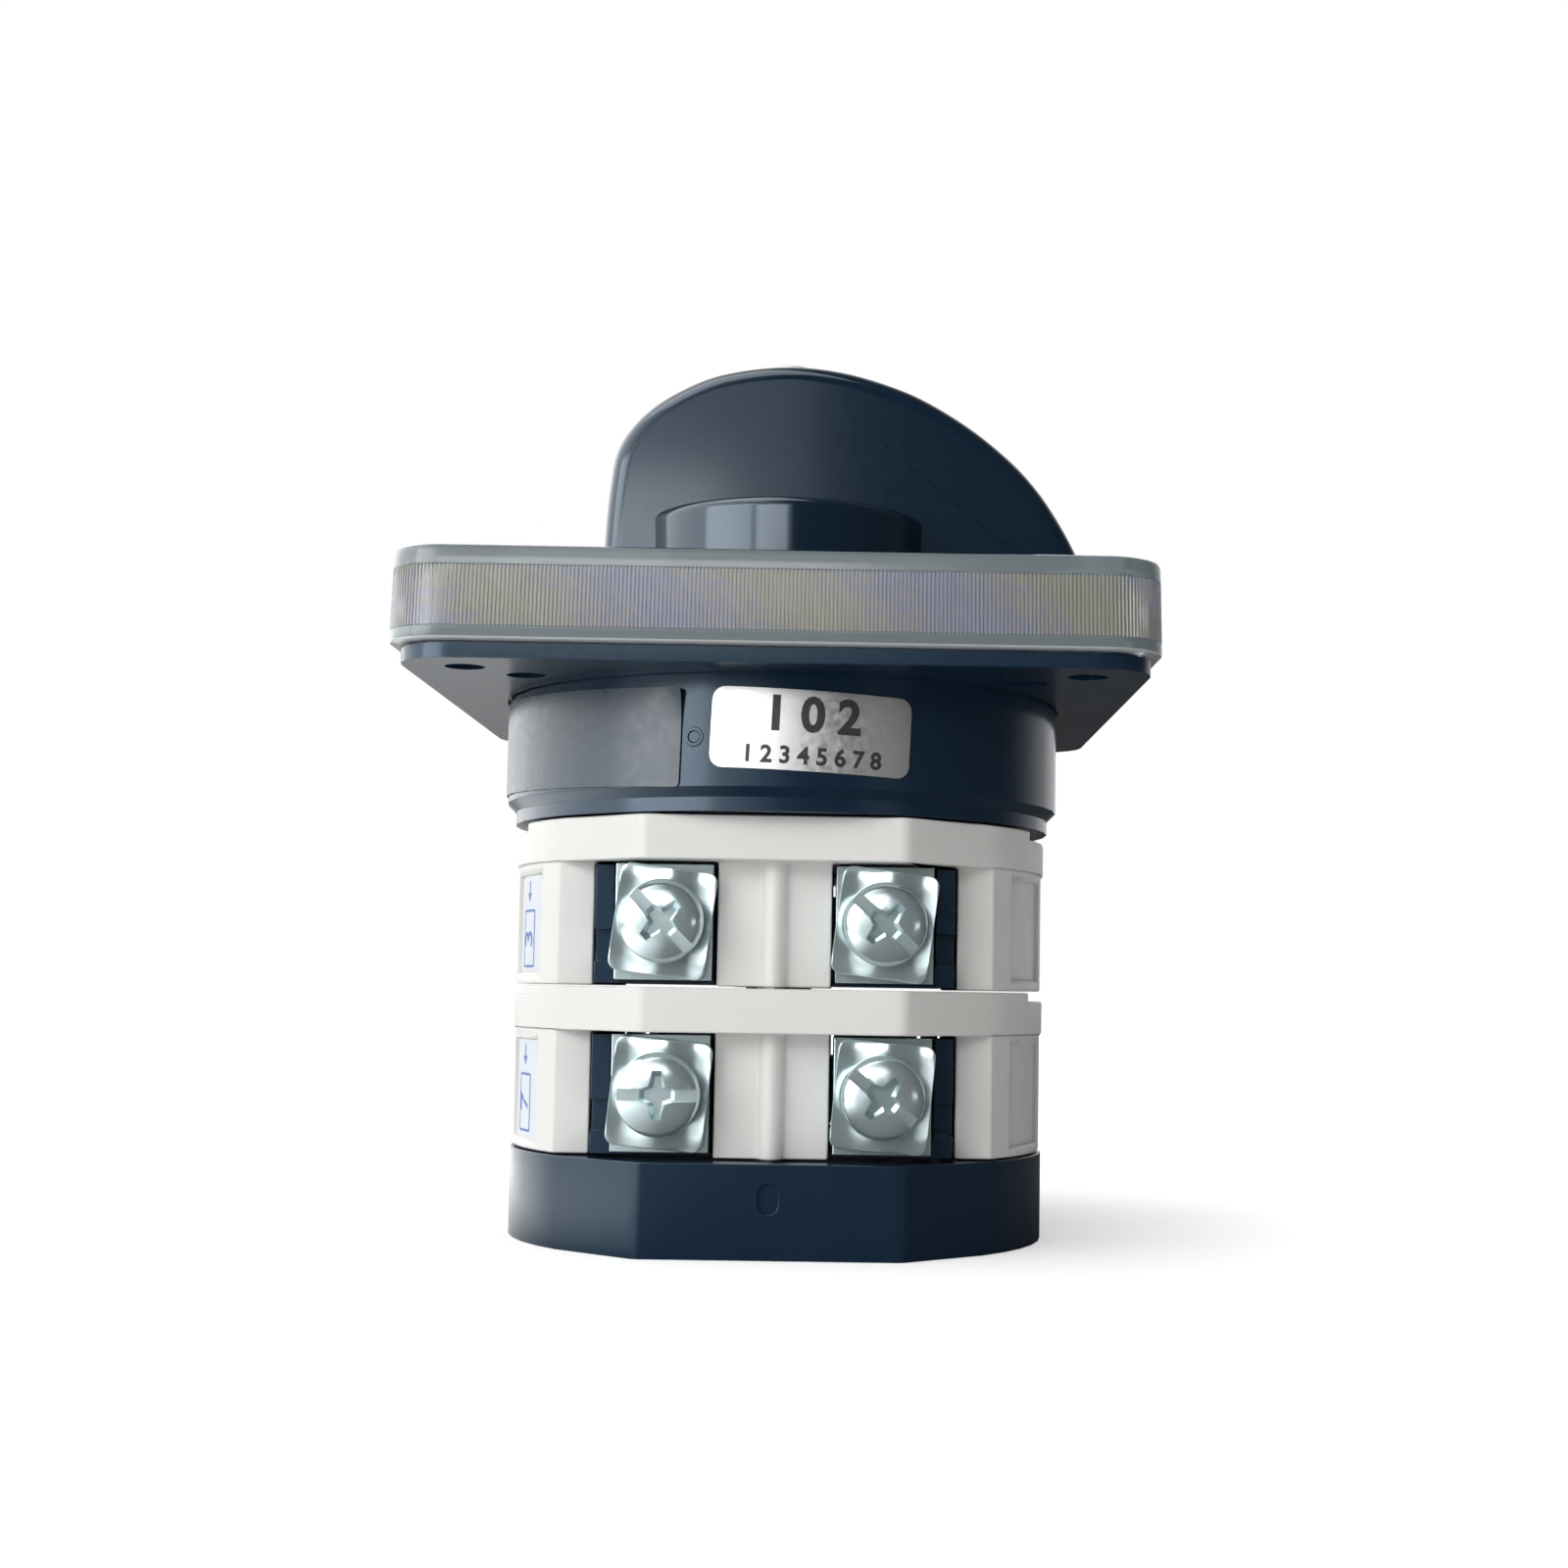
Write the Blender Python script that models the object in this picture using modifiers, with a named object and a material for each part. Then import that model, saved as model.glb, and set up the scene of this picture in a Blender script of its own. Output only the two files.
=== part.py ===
"""Changeover cam switch: two contact stages, a detent unit, a square front plate and a pointer knob.

The switch stands on its end cap. The origin is on the spindle axis at the end cap's outer face,
+Z runs up the spindle to the knob, and the knob points along +X in its middle position.
Every length is in metres.
"""
import math

import bmesh
import bpy
from mathutils import Matrix, Vector

# Clearances
SEAM = 0.00015
RUNNING_GAP = 0.0001
SLIDING_GAP = 0.0002
SEAT_GAP = 0.0002
HOLE_GAP = 0.0002
SIDE_GAP = 0.0003
OVERRUN = 0.0010

# Heights of the stacked mouldings, from the end cap up
END_CAP_HEIGHT = 0.0080
STAGE_HEIGHT = 0.0145
DETENT_HEIGHT = 0.0118
COVER_HEIGHT = 0.0078
KNOB_HEIGHT = 0.0231

# Spindle
SPINDLE_SIDE = 0.0060
SPINDLE_TOP_IN_KNOB = 0.0094
SPINDLE_TAP_DEPTH = 0.0085
SHAFT_ROOM = 0.00126
JOURNAL_SHOULDER = 0.0001
JOURNAL_START = 0.0013

# Cams, plungers, bridges and contact springs
CAM_RADIUS = 0.0080
CAM_THROW = 0.0015
CAM_MARGIN = 0.0025
CAM_ROOM = 0.0018
TURN_LIMIT = math.radians(60.0)
PLUNGER_WIDTH = 0.0040
PLUNGER_HEIGHT = 0.0040
CONTACT_GAP = 0.0017
BRIDGE_THICKNESS = 0.0010
PAD_RADIUS = 0.0017
PAD_THICKNESS = 0.0005
PAD_Y = 0.0070
PAD_MARGIN = 0.0001
CONTACT_SPRING_LENGTH = 0.00384
CONTACT_SPRING_RADIUS = 0.0016
CONTACT_SPRING_WIRE = 0.00028
CONTACT_SPRING_TURNS = 3

# Terminals, clamp plates and screws
TERMINAL_X = 0.0095
TERMINAL_FACE_Y = 0.0190
TERMINAL_RISE = 0.0001
TERMINAL_MARGIN = 0.00035
TERMINAL_PLATE_WIDTH = 0.0084
TERMINAL_PLATE_THICKNESS = 0.0014
ARM_THICKNESS = 0.0010
ARM_HEIGHT = 0.0040
CLAMP_SIDE_MARGIN = 0.00005
CLAMP_END_MARGIN = 0.0004
CLAMP_THICKNESS = 0.0011
CLAMP_WAVE = 0.00022
CLAMP_TILT = math.radians(5.0)
SCREW_RADIUS = 0.00175
SCREW_LENGTH = 0.0062
SCREW_HEAD_RADIUS = 0.0036
SCREW_HEAD_HEIGHT = 0.0021
SCREW_SLOT_WIDTH = 0.0011
SCREW_SLOT_DEPTH = 0.0009
SCREW_SLOT_TURNS = {
    ("upper", -1, -1): 42.0, ("upper", 1, -1): 40.0,
    ("lower", -1, -1): 3.0, ("lower", 1, -1): 38.0,
    ("upper", -1, 1): 15.0, ("upper", 1, 1): 70.0,
    ("lower", -1, 1): 120.0, ("lower", 1, 1): 55.0,
}

# Contact block
BLOCK_OUTER_WALL = 0.0019
BLOCK_FLOOR = 0.0016
BLOCK_WALL_DEPTH = 0.0042
BLOCK_STEP_HEIGHT = 0.0048
BLOCK_STEP_DEPTH = 0.0012
GUIDE_WALL = 0.0018
GUIDE_LENGTH = 0.0026
GUIDE_SETBACK = 0.0009

# Stage housing
FLANGE_THICKNESS = 0.0038
FRONT_OVERHANG = 0.0036
FRONT_FLAT_HALF = 0.01125
FRONT_CORNER_RADIUS = 0.0017
CHAMFER_END_ANGLE = math.radians(41.5)
SIDE_WALL = 0.0025
SIDE_WALL_INSET = 0.0002
PILLAR_SETBACK = 0.00097
PILLAR_DEPTH = 0.0030
CENTRE_WALL_GAP = 0.0004
CENTRE_WALL_PROUD = 0.0001
CENTRE_WALL_SLOPE = 0.0003
CENTRE_RIB_RADIUS = 0.0011
LABEL_RECESS_DEPTH = 0.0004
LABEL_RECESS_START = math.radians(11.7)
LABEL_RECESS_END = math.radians(31.5)
LABEL_RECESS_MARGIN = 0.0009
TOP_STEP_DEPTH = 0.0008
TOP_STEP_WIDTH = 0.0020
TOP_STEP_REACH = math.radians(22.6)

# Detent unit
DETENT_LAP = 0.0011
DETENT_WALL = 0.0026
DETENT_NECK_LAP = 0.0003
DETENT_NECK_HEIGHT = 0.0012
DETENT_CHAMFER = 0.0008
DETENT_FLOOR = 0.0022
DETENT_LID_GAP = 0.0016
STAR_RADIUS = 0.0090
STAR_NOTCH_DEPTH = 0.0006
STAR_NOTCHES = 6
STAR_LIFT = 0.0007
STAR_COLLAR_RADIUS = 0.0080
STAR_COLLAR_RISE = 0.00105
FOLLOWER_HALF_WIDTH = 0.0030
FOLLOWER_LENGTH = 0.0062
FOLLOWER_NOSE_RADIUS = 0.0012
DETENT_GUIDE_WALL = 0.0018
DETENT_GUIDE_SETBACK = 0.0029
DETENT_BRIDGE_LENGTH = 0.0026
DETENT_SPRING_MARGIN = 0.0011
DETENT_SPRING_WIRE = 0.00032
DETENT_SPRING_TURNS = 4
STOP_LUG_HALF_WIDTH = 0.0013
STOP_LUG_HEIGHT = 0.0015
STOP_LUG_GAP = 0.0004

# Front plate, legend sheet and clear cover
PLATE_SIDE = 0.0640
PLATE_CORNER_RADIUS = 0.0048
COVER_WALL = 0.0015
COVER_TOP_THICKNESS = 0.0015
COVER_DRAFT = 0.00015
COVER_EDGE_ROUND = 0.0003
LEGEND_THICKNESS = 0.0004
BASE_FLANGE = 0.0013
BASE_INSET = 0.0008
BASE_FLOOR = 0.0023
BASE_SEAT_DEPTH = 0.0004
BASE_TRAY_WALL = 0.0016
BASE_RING_WALL = 0.0014
NECK_ROOM = 0.0008
NECK_GAP = 0.0004
BASE_HOLE_RADIUS = 0.0017
OUTER_HOLE_EDGE = 0.0060
INNER_HOLE_STEP = 0.0045

# Tie bolts and end cap
BOLT_RADIUS = 0.0016
BOLT_HEAD_RADIUS = 0.0028
BOLT_HEAD_HEIGHT = 0.0018
BOLT_HEAD_RECESS = 0.0022
NUT_RADIUS = 0.0031
NUT_HEIGHT = 0.0024
BOLT_END_ABOVE_NUT = 0.0006
GATE_MARK_WIDTH = 0.0018
GATE_MARK_HEIGHT = 0.0027
GATE_MARK_DEPTH = 0.0003
GATE_MARK_Z = 0.0051
BODY_EDGE_ROUND = 0.0004

# Knob
KNOB_LIFT = 0.0004
HUB_LAP = 0.0018
HUB_HEIGHT = 0.0083
BLADE_THICKNESS = 0.0120
BLADE_TOP_TAPER = 0.28
BLADE_POINTER_TAPER = 0.22
BLADE_EDGE_ROUND = 0.0016
BLADE_SKIRT = 0.0020
BLADE_BACK = 0.0172
BLADE_POINTER = 0.0296
KNOB_SCREW_RADIUS = 0.0015
KNOB_SCREW_HEAD_RADIUS = 0.00215
KNOB_SCREW_HEAD_HEIGHT = 0.0020
KNOB_WEB = 0.0055
KNOB_CAP_RADIUS = 0.0022
KNOB_CAP_HEIGHT = 0.0045

# Heights that follow from the stack
STAGE_Z = {
    "lower": END_CAP_HEIGHT + SEAM,
    "upper": END_CAP_HEIGHT + SEAM + STAGE_HEIGHT + SEAM,
}
DETENT_Z = STAGE_Z["upper"] + STAGE_HEIGHT + SEAM
BASE_Z = DETENT_Z + DETENT_HEIGHT + SEAM - BASE_SEAT_DEPTH
COVER_Z = BASE_Z + BASE_FLANGE + SEAM
COVER_TOP = COVER_Z + COVER_HEIGHT
LEGEND_Z = COVER_TOP - COVER_TOP_THICKNESS - SEAM - LEGEND_THICKNESS
TRAY_TOP = LEGEND_Z - SEAM
KNOB_Z = COVER_TOP + KNOB_LIFT
WINDOW_HEIGHT = STAGE_HEIGHT - FLANGE_THICKNESS
AXIS_HEIGHT = WINDOW_HEIGHT / 2 + TERMINAL_RISE
STAR_Z = DETENT_Z + DETENT_FLOOR + STAR_LIFT
LUG_Z = DETENT_Z + DETENT_HEIGHT - DETENT_LID_GAP - STOP_LUG_HEIGHT
STAR_TOP = LUG_Z - SIDE_GAP
COLLAR_TOP = BASE_Z + BASE_FLOOR + STAR_COLLAR_RISE
KNOB_NECK_Z = COLLAR_TOP + SIDE_GAP
SPINDLE_TOP = KNOB_Z + SPINDLE_TOP_IN_KNOB
WEB_Z = SPINDLE_TOP + SIDE_GAP
WEB_TOP = WEB_Z + KNOB_WEB
JOURNAL_END = END_CAP_HEIGHT + SIDE_GAP

# Places along X of the contact train, from the cam out to the housing wall
ARM_OUTER_X = TERMINAL_X + TERMINAL_PLATE_WIDTH / 2
PAD_FACE_X = ARM_OUTER_X + PAD_THICKNESS
TIP_FACE_X = PAD_FACE_X + CONTACT_GAP
BRIDGE_X = TIP_FACE_X + PAD_THICKNESS
PLUNGER_START_X = CAM_RADIUS + SLIDING_GAP
CONTACT_SPRING_START_X = BRIDGE_X + BRIDGE_THICKNESS + SEAT_GAP + CONTACT_SPRING_WIRE
CONTACT_SPRING_END_X = CONTACT_SPRING_START_X + CONTACT_SPRING_LENGTH
BLOCK_HALF_X = ARM_OUTER_X + BLOCK_OUTER_WALL
PILLAR_INNER_X = BLOCK_HALF_X + SIDE_GAP
CENTRE_WALL_HALF = TERMINAL_X - TERMINAL_PLATE_WIDTH / 2 - CENTRE_WALL_GAP
BODY_RADIUS = CONTACT_SPRING_END_X + CONTACT_SPRING_WIRE + SEAT_GAP + SIDE_WALL

# Places along Y, from the spindle out to the front and the back
ARM_END_Y = PAD_Y - PAD_RADIUS - PAD_MARGIN
BRIDGE_HALF_LENGTH = PAD_Y + PAD_RADIUS + PAD_MARGIN
CAM_ROOM_RADIUS = CAM_RADIUS + CAM_THROW + CAM_ROOM
CENTRE_WALL_FACE_Y = TERMINAL_FACE_Y + CENTRE_WALL_PROUD
BOLT_Y = (CAM_ROOM_RADIUS + CENTRE_WALL_FACE_Y) / 2
FRONT_FLAT_Y = TERMINAL_FACE_Y + FRONT_OVERHANG
PILLAR_FACE_Y = BODY_RADIUS * math.sin(CHAMFER_END_ANGLE) - PILLAR_SETBACK

# Radii and pitches that follow from what they hold
BORE_HALF = SPINDLE_SIDE / 2 + SLIDING_GAP / 2
SHAFT_HOLE_RADIUS = SPINDLE_SIDE / math.sqrt(2) + SHAFT_ROOM
JOURNAL_RADIUS = SPINDLE_SIDE / 2 - JOURNAL_SHOULDER
BOLT_HOLE_RADIUS = BOLT_RADIUS + HOLE_GAP
DETENT_RADIUS = BODY_RADIUS + DETENT_LAP
DETENT_NECK_RADIUS = BODY_RADIUS + DETENT_NECK_LAP
DETENT_CAVITY_RADIUS = DETENT_RADIUS - DETENT_WALL
DETENT_GUIDE_START_X = STAR_RADIUS + DETENT_GUIDE_SETBACK
STOP_LUG_REACH = BOLT_Y - BOLT_RADIUS - STOP_LUG_GAP
BASE_RING_RADIUS = BOLT_Y - NUT_RADIUS * math.cos(math.radians(30)) - SIDE_GAP
KNOB_NECK_RADIUS = BASE_RING_RADIUS - BASE_RING_WALL - NECK_ROOM
COVER_HOLE_RADIUS = KNOB_NECK_RADIUS + NECK_GAP
HUB_RADIUS = COVER_HOLE_RADIUS + HUB_LAP
OUTER_HOLE_PITCH = PLATE_SIDE - 2 * OUTER_HOLE_EDGE
INNER_HOLE_PITCH = OUTER_HOLE_PITCH - 2 * INNER_HOLE_STEP

ROUND_STEPS = 40
SMALL_STEPS = 12
CAP_STEPS = 16
PANEL_HOLE_STEPS = 12
SIDES = (-1, 1)


def clear_scene():
    for obj in list(bpy.data.objects):
        bpy.data.objects.remove(obj, do_unlink=True)


def new_collection(name):
    collection = bpy.data.collections.new(name)
    bpy.context.scene.collection.children.link(collection)
    return collection


def new_material(name, color, roughness, metallic=0.0, alpha=1.0):
    material = bpy.data.materials.new(name)
    material.use_nodes = True
    shader = material.node_tree.nodes["Principled BSDF"]
    shader.inputs["Base Color"].default_value = (*color, 1.0)
    shader.inputs["Roughness"].default_value = roughness
    shader.inputs["Metallic"].default_value = metallic
    shader.inputs["Alpha"].default_value = alpha
    return material


def place(name, mesh, material=None):
    """A finished piece when it has a material, otherwise a helper solid for a Boolean."""
    obj = bpy.data.objects.new(name, mesh)
    if material is None:
        CUTTERS.objects.link(obj)
        obj.hide_render = True
        obj.display_type = "WIRE"
    else:
        PIECES.objects.link(obj)
        mesh.materials.clear()
        mesh.materials.append(material)
        mesh.shade_smooth()
        mesh.set_sharp_from_angle(angle=math.radians(35))
    return obj


def combine(target, other, operation):
    modifier = target.modifiers.new(other.name, "BOOLEAN")
    modifier.operation = operation
    modifier.solver = "EXACT"
    modifier.object = other


def cut(target, *cutters):
    for cutter in cutters:
        combine(target, cutter, "DIFFERENCE")


def fuse(target, *solids):
    for solid in solids:
        combine(target, solid, "UNION")


def mesh_from(bm, name):
    bmesh.ops.recalc_face_normals(bm, faces=bm.faces)
    mesh = bpy.data.meshes.new(name)
    bm.to_mesh(mesh)
    bm.free()
    return mesh


def box(name, low, high, material=None):
    low = Vector(low)
    high = Vector(high)
    bm = bmesh.new()
    bmesh.ops.create_cube(bm, size=1.0)
    bmesh.ops.scale(bm, vec=high - low, verts=bm.verts)
    bmesh.ops.translate(bm, vec=(low + high) / 2, verts=bm.verts)
    return place(name, mesh_from(bm, name), material)


def cylinder(name, radius, start, end, material=None, steps=SMALL_STEPS):
    """A cylinder between two points."""
    start = Vector(start)
    end = Vector(end)
    bm = bmesh.new()
    bmesh.ops.create_cone(
        bm, cap_ends=True, segments=steps, radius1=radius, radius2=radius, depth=(end - start).length
    )
    half_step = Matrix.Rotation(math.pi / steps, 3, "Z")
    turn = Vector((0, 0, 1)).rotation_difference(end - start).to_matrix()
    bmesh.ops.rotate(bm, matrix=turn @ half_step, verts=bm.verts)
    bmesh.ops.translate(bm, vec=(start + end) / 2, verts=bm.verts)
    return place(name, mesh_from(bm, name), material)


def welded_mesh(name, curve, matrix):
    """The solid that a filled curve makes, as one closed mesh."""
    guide = bpy.data.objects.new(name + "_outline", curve)
    bpy.context.scene.collection.objects.link(guide)
    graph = bpy.context.evaluated_depsgraph_get()
    mesh = bpy.data.meshes.new_from_object(guide.evaluated_get(graph))
    bpy.data.objects.remove(guide)
    bm = bmesh.new()
    bm.from_mesh(mesh)
    bpy.data.meshes.remove(mesh)
    bmesh.ops.remove_doubles(bm, verts=bm.verts, dist=1e-7)
    bmesh.ops.transform(bm, matrix=matrix, verts=bm.verts)
    return mesh_from(bm, name)


def merge_flat_faces(mesh):
    """Join triangles that lie in one plane, so that a bevel can run along their edges."""
    bm = bmesh.new()
    bm.from_mesh(mesh)
    bmesh.ops.dissolve_limit(bm, angle_limit=math.radians(0.5), verts=bm.verts, edges=bm.edges)
    bm.to_mesh(mesh)
    bm.free()


def flat_solid(name, outlines, low, high, material=None, matrix=Matrix.Identity(4)):
    """A plate between two heights. The first outline is its edge and the others are holes."""
    curve = bpy.data.curves.new(name, "CURVE")
    curve.dimensions = "2D"
    curve.fill_mode = "BOTH"
    curve.extrude = (high - low) / 2
    for outline in outlines:
        spline = curve.splines.new("POLY")
        spline.points.add(len(outline) - 1)
        for point, (x, y) in zip(spline.points, outline):
            point.co = (x, y, 0, 1)
        spline.use_cyclic_u = True
    lift = Matrix.Translation((0, 0, (low + high) / 2))
    return place(name, welded_mesh(name, curve, matrix @ lift), material)


def turned_solid(name, profile, material=None, steps=SMALL_STEPS, matrix=Matrix.Identity(4), closed=False):
    """A solid turned about Z from a profile of (radius, height) that runs top to bottom outside."""
    bm = bmesh.new()
    corners = [bm.verts.new((radius, 0, height)) for radius, height in profile]
    for first, second in zip(corners, corners[1:]):
        bm.edges.new((first, second))
    if closed:
        bm.edges.new((corners[-1], corners[0]))
    mesh = bpy.data.meshes.new(name)
    bm.to_mesh(mesh)
    bm.free()
    obj = place(name, mesh, material)
    screw = obj.modifiers.new("turn", "SCREW")
    screw.steps = steps
    screw.render_steps = steps
    screw.use_merge_vertices = True
    screw.merge_threshold = 1e-6
    screw.use_normal_calculate = closed
    obj.matrix_world = matrix
    return obj


def arc(radius, start, end, steps, centre=(0, 0)):
    points = []
    for step in range(steps + 1):
        angle = start + (end - start) * step / steps
        points.append((centre[0] + radius * math.cos(angle), centre[1] + radius * math.sin(angle)))
    return points


def circle(radius, steps=ROUND_STEPS, centre=(0, 0)):
    return arc(radius, 0, 2 * math.pi * (1 - 1 / steps), steps - 1, centre)


def square(half):
    return [(-half, -half), (half, -half), (half, half), (-half, half)]


def rounded_square(half, radius, steps=5):
    points = []
    for quarter in range(4):
        middle = math.pi / 4 + quarter * math.pi / 2
        centre_x = (half - radius) * (1 if math.cos(middle) > 0 else -1)
        centre_y = (half - radius) * (1 if math.sin(middle) > 0 else -1)
        start = quarter * math.pi / 2
        points += arc(radius, start, start + math.pi / 2, steps, (centre_x, centre_y))
    return points


def corner_arc(before, corner, after, radius, steps):
    """The points that round one corner of an outline."""
    corner = Vector(corner)
    to_before = (Vector(before) - corner).normalized()
    to_after = (Vector(after) - corner).normalized()
    half_angle = to_before.angle(to_after) / 2
    reach = radius / math.tan(half_angle)
    centre = corner + (to_before + to_after).normalized() * radius / math.sin(half_angle)
    start = corner + to_before * reach - centre
    end = corner + to_after * reach - centre
    turn = start.angle_signed(end)
    points = []
    for step in range(steps + 1):
        spoke = start.copy()
        spoke.rotate(Matrix.Rotation(-turn * step / steps, 2))
        points.append(tuple(centre + spoke))
    return points


def body_outline():
    """Round sides, a flat front and back, and a chamfer with a soft corner between them."""
    right = arc(BODY_RADIUS, -CHAMFER_END_ANGLE, CHAMFER_END_ANGLE, 11)
    corner = (FRONT_FLAT_HALF, FRONT_FLAT_Y)
    back_right = corner_arc(right[-1], corner, (-FRONT_FLAT_HALF, FRONT_FLAT_Y), FRONT_CORNER_RADIUS, 3)
    half = right + back_right
    left = [(-x, y) for x, y in reversed(back_right)]
    left += [(-x, y) for x, y in reversed(right)]
    left += [(-x, -y) for x, y in back_right]
    front_right = [(x, -y) for x, y in reversed(back_right)]
    return half + left + front_right


def edge_round(obj, width, segments=2, angle=35):
    bevel = obj.modifiers.new("edges", "BEVEL")
    bevel.width = width
    bevel.segments = segments
    bevel.limit_method = "ANGLE"
    bevel.angle_limit = math.radians(angle)
    return obj


def spring(name, start_x, end_x, side, height, radius, wire, turns, material):
    """A coil about an axis along X."""
    per_turn = 8
    curve = bpy.data.curves.new(name, "CURVE")
    curve.dimensions = "3D"
    curve.bevel_depth = wire
    curve.bevel_resolution = 1
    curve.use_fill_caps = True
    spline = curve.splines.new("POLY")
    count = turns * per_turn + 1
    spline.points.add(count - 1)
    for index, point in enumerate(spline.points):
        share = index / (count - 1)
        angle = 2 * math.pi * turns * share
        x = side * (start_x + (end_x - start_x) * share)
        point.co = (x, radius * math.cos(angle), height + radius * math.sin(angle), 1)
    obj = bpy.data.objects.new(name, curve)
    curve.materials.append(material)
    PIECES.objects.link(obj)
    return obj


def ring_sector(name, inner, outer, start, end, low, high, steps=4):
    """A curved block between two radii and two angles."""
    outline = arc(outer, start, end, steps) + arc(inner, end, start, steps)
    return flat_solid(name, [outline], low, high)


# End cap
def make_end_cap():
    cap = flat_solid("end_cap", [body_outline()], 0, END_CAP_HEIGHT, NAVY)
    edge_round(cap, BODY_EDGE_ROUND, segments=1, angle=60)
    bore = JOURNAL_RADIUS + RUNNING_GAP
    bore_start = JOURNAL_START - SIDE_GAP
    above = END_CAP_HEIGHT + SIDE_GAP
    cut(cap, cylinder("journal_bore", bore, (0, 0, bore_start), (0, 0, above), steps=ROUND_STEPS))
    for side in SIDES:
        y = side * BOLT_Y
        cut(cap, cylinder(f"cap_bolt_hole_{side}", BOLT_HOLE_RADIUS, (0, y, -SIDE_GAP), (0, y, above)))
        recess = BOLT_HEAD_RADIUS + HOLE_GAP * 2
        cut(cap, cylinder(f"cap_head_recess_{side}", recess, (0, y, -SIDE_GAP), (0, y, BOLT_HEAD_RECESS)))
    half_width = GATE_MARK_WIDTH / 2
    lift = GATE_MARK_HEIGHT / 2 - half_width
    mark = arc(half_width, 0, math.pi, 5, (0, lift)) + arc(half_width, math.pi, 2 * math.pi, 5, (0, -lift))
    stand = Matrix.Translation((0, -FRONT_FLAT_Y, GATE_MARK_Z)) @ Matrix.Rotation(math.radians(90), 4, "X")
    cut(cap, flat_solid("gate_mark", [mark], -GATE_MARK_DEPTH, GATE_MARK_DEPTH, matrix=stand))
    return cap


# Stage housing: flange on top, side walls with pillars, and a centre wall at the front and back
def side_wall_outline():
    outer_radius = BODY_RADIUS - SIDE_WALL_INSET
    inner_radius = BODY_RADIUS - SIDE_WALL
    inner_y = PILLAR_FACE_Y - PILLAR_DEPTH
    outer_reach = math.asin(PILLAR_FACE_Y / outer_radius)
    inner_reach = math.asin(inner_y / inner_radius)
    outline = [(PILLAR_INNER_X, -PILLAR_FACE_Y)]
    outline += arc(outer_radius, -outer_reach, outer_reach, 11)
    outline += [(PILLAR_INNER_X, PILLAR_FACE_Y), (PILLAR_INNER_X, inner_y)]
    outline += arc(inner_radius, inner_reach, -inner_reach, 7)
    outline.append((PILLAR_INNER_X, -inner_y))
    return outline


def centre_wall_outline():
    rib = arc(CENTRE_RIB_RADIUS, math.pi, 2 * math.pi, 6, (0, -CENTRE_WALL_FACE_Y))
    edge_y = -CENTRE_WALL_FACE_Y + CENTRE_WALL_SLOPE
    outline = [(-CENTRE_WALL_HALF, edge_y)] + rib + [(CENTRE_WALL_HALF, edge_y)]
    outline.append((CENTRE_WALL_HALF, -CAM_ROOM_RADIUS))
    outline.append((-CENTRE_WALL_HALF, -CAM_ROOM_RADIUS))
    return outline


def make_stage_housing(stage):
    base = STAGE_Z[stage]
    top = base + STAGE_HEIGHT
    ceiling = base + WINDOW_HEIGHT
    shaft_hole = circle(SHAFT_HOLE_RADIUS, SMALL_STEPS)
    housing = flat_solid(f"{stage}_housing", [body_outline(), shaft_hole], ceiling, top, IVORY)
    overlap = FLANGE_THICKNESS / 2
    for side in SIDES:
        turn = Matrix.Rotation(0 if side > 0 else math.pi, 4, "Z")
        wall_top = ceiling + overlap
        wall = flat_solid(f"{stage}_wall_{side}", [side_wall_outline()], base, wall_top, matrix=turn)
        centre = flat_solid(f"{stage}_centre_{side}", [centre_wall_outline()], base, wall_top, matrix=turn)
        fuse(housing, wall, centre)
    for side in SIDES:
        y = side * BOLT_Y
        cut(housing, cylinder(
            f"{stage}_bolt_hole_{side}", BOLT_HOLE_RADIUS, (0, y, base - SIDE_GAP), (0, y, top + SIDE_GAP)
        ))
    outside = BODY_RADIUS + OVERRUN
    for side in SIDES:
        facing = 0 if side > 0 else math.pi
        step = ring_sector(
            f"{stage}_step_{side}", BODY_RADIUS - TOP_STEP_WIDTH, outside,
            facing - TOP_STEP_REACH, facing + TOP_STEP_REACH, top - TOP_STEP_DEPTH, top + OVERRUN, 5,
        )
        cut(housing, step)
        for face in SIDES:
            recess = ring_sector(
                f"{stage}_label_recess_{side}_{face}",
                BODY_RADIUS - SIDE_WALL_INSET - LABEL_RECESS_DEPTH, outside,
                facing + face * LABEL_RECESS_START, facing + face * LABEL_RECESS_END,
                base + LABEL_RECESS_MARGIN, ceiling - LABEL_RECESS_MARGIN,
            )
            cut(housing, recess)
    return housing


# Contact block: a floor with four corner walls, and two guides for each plunger
def block_floor_outline():
    notch = CENTRE_WALL_HALF + SIDE_GAP
    edge_y = TERMINAL_FACE_Y - TERMINAL_PLATE_THICKNESS - SIDE_GAP
    notch_y = CAM_ROOM_RADIUS - SIDE_GAP
    quarter = [(BLOCK_HALF_X, edge_y), (notch, edge_y), (notch, notch_y)]
    points = quarter + [(-x, y) for x, y in reversed(quarter)]
    return points + [(-x, -y) for x, y in points]


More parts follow.
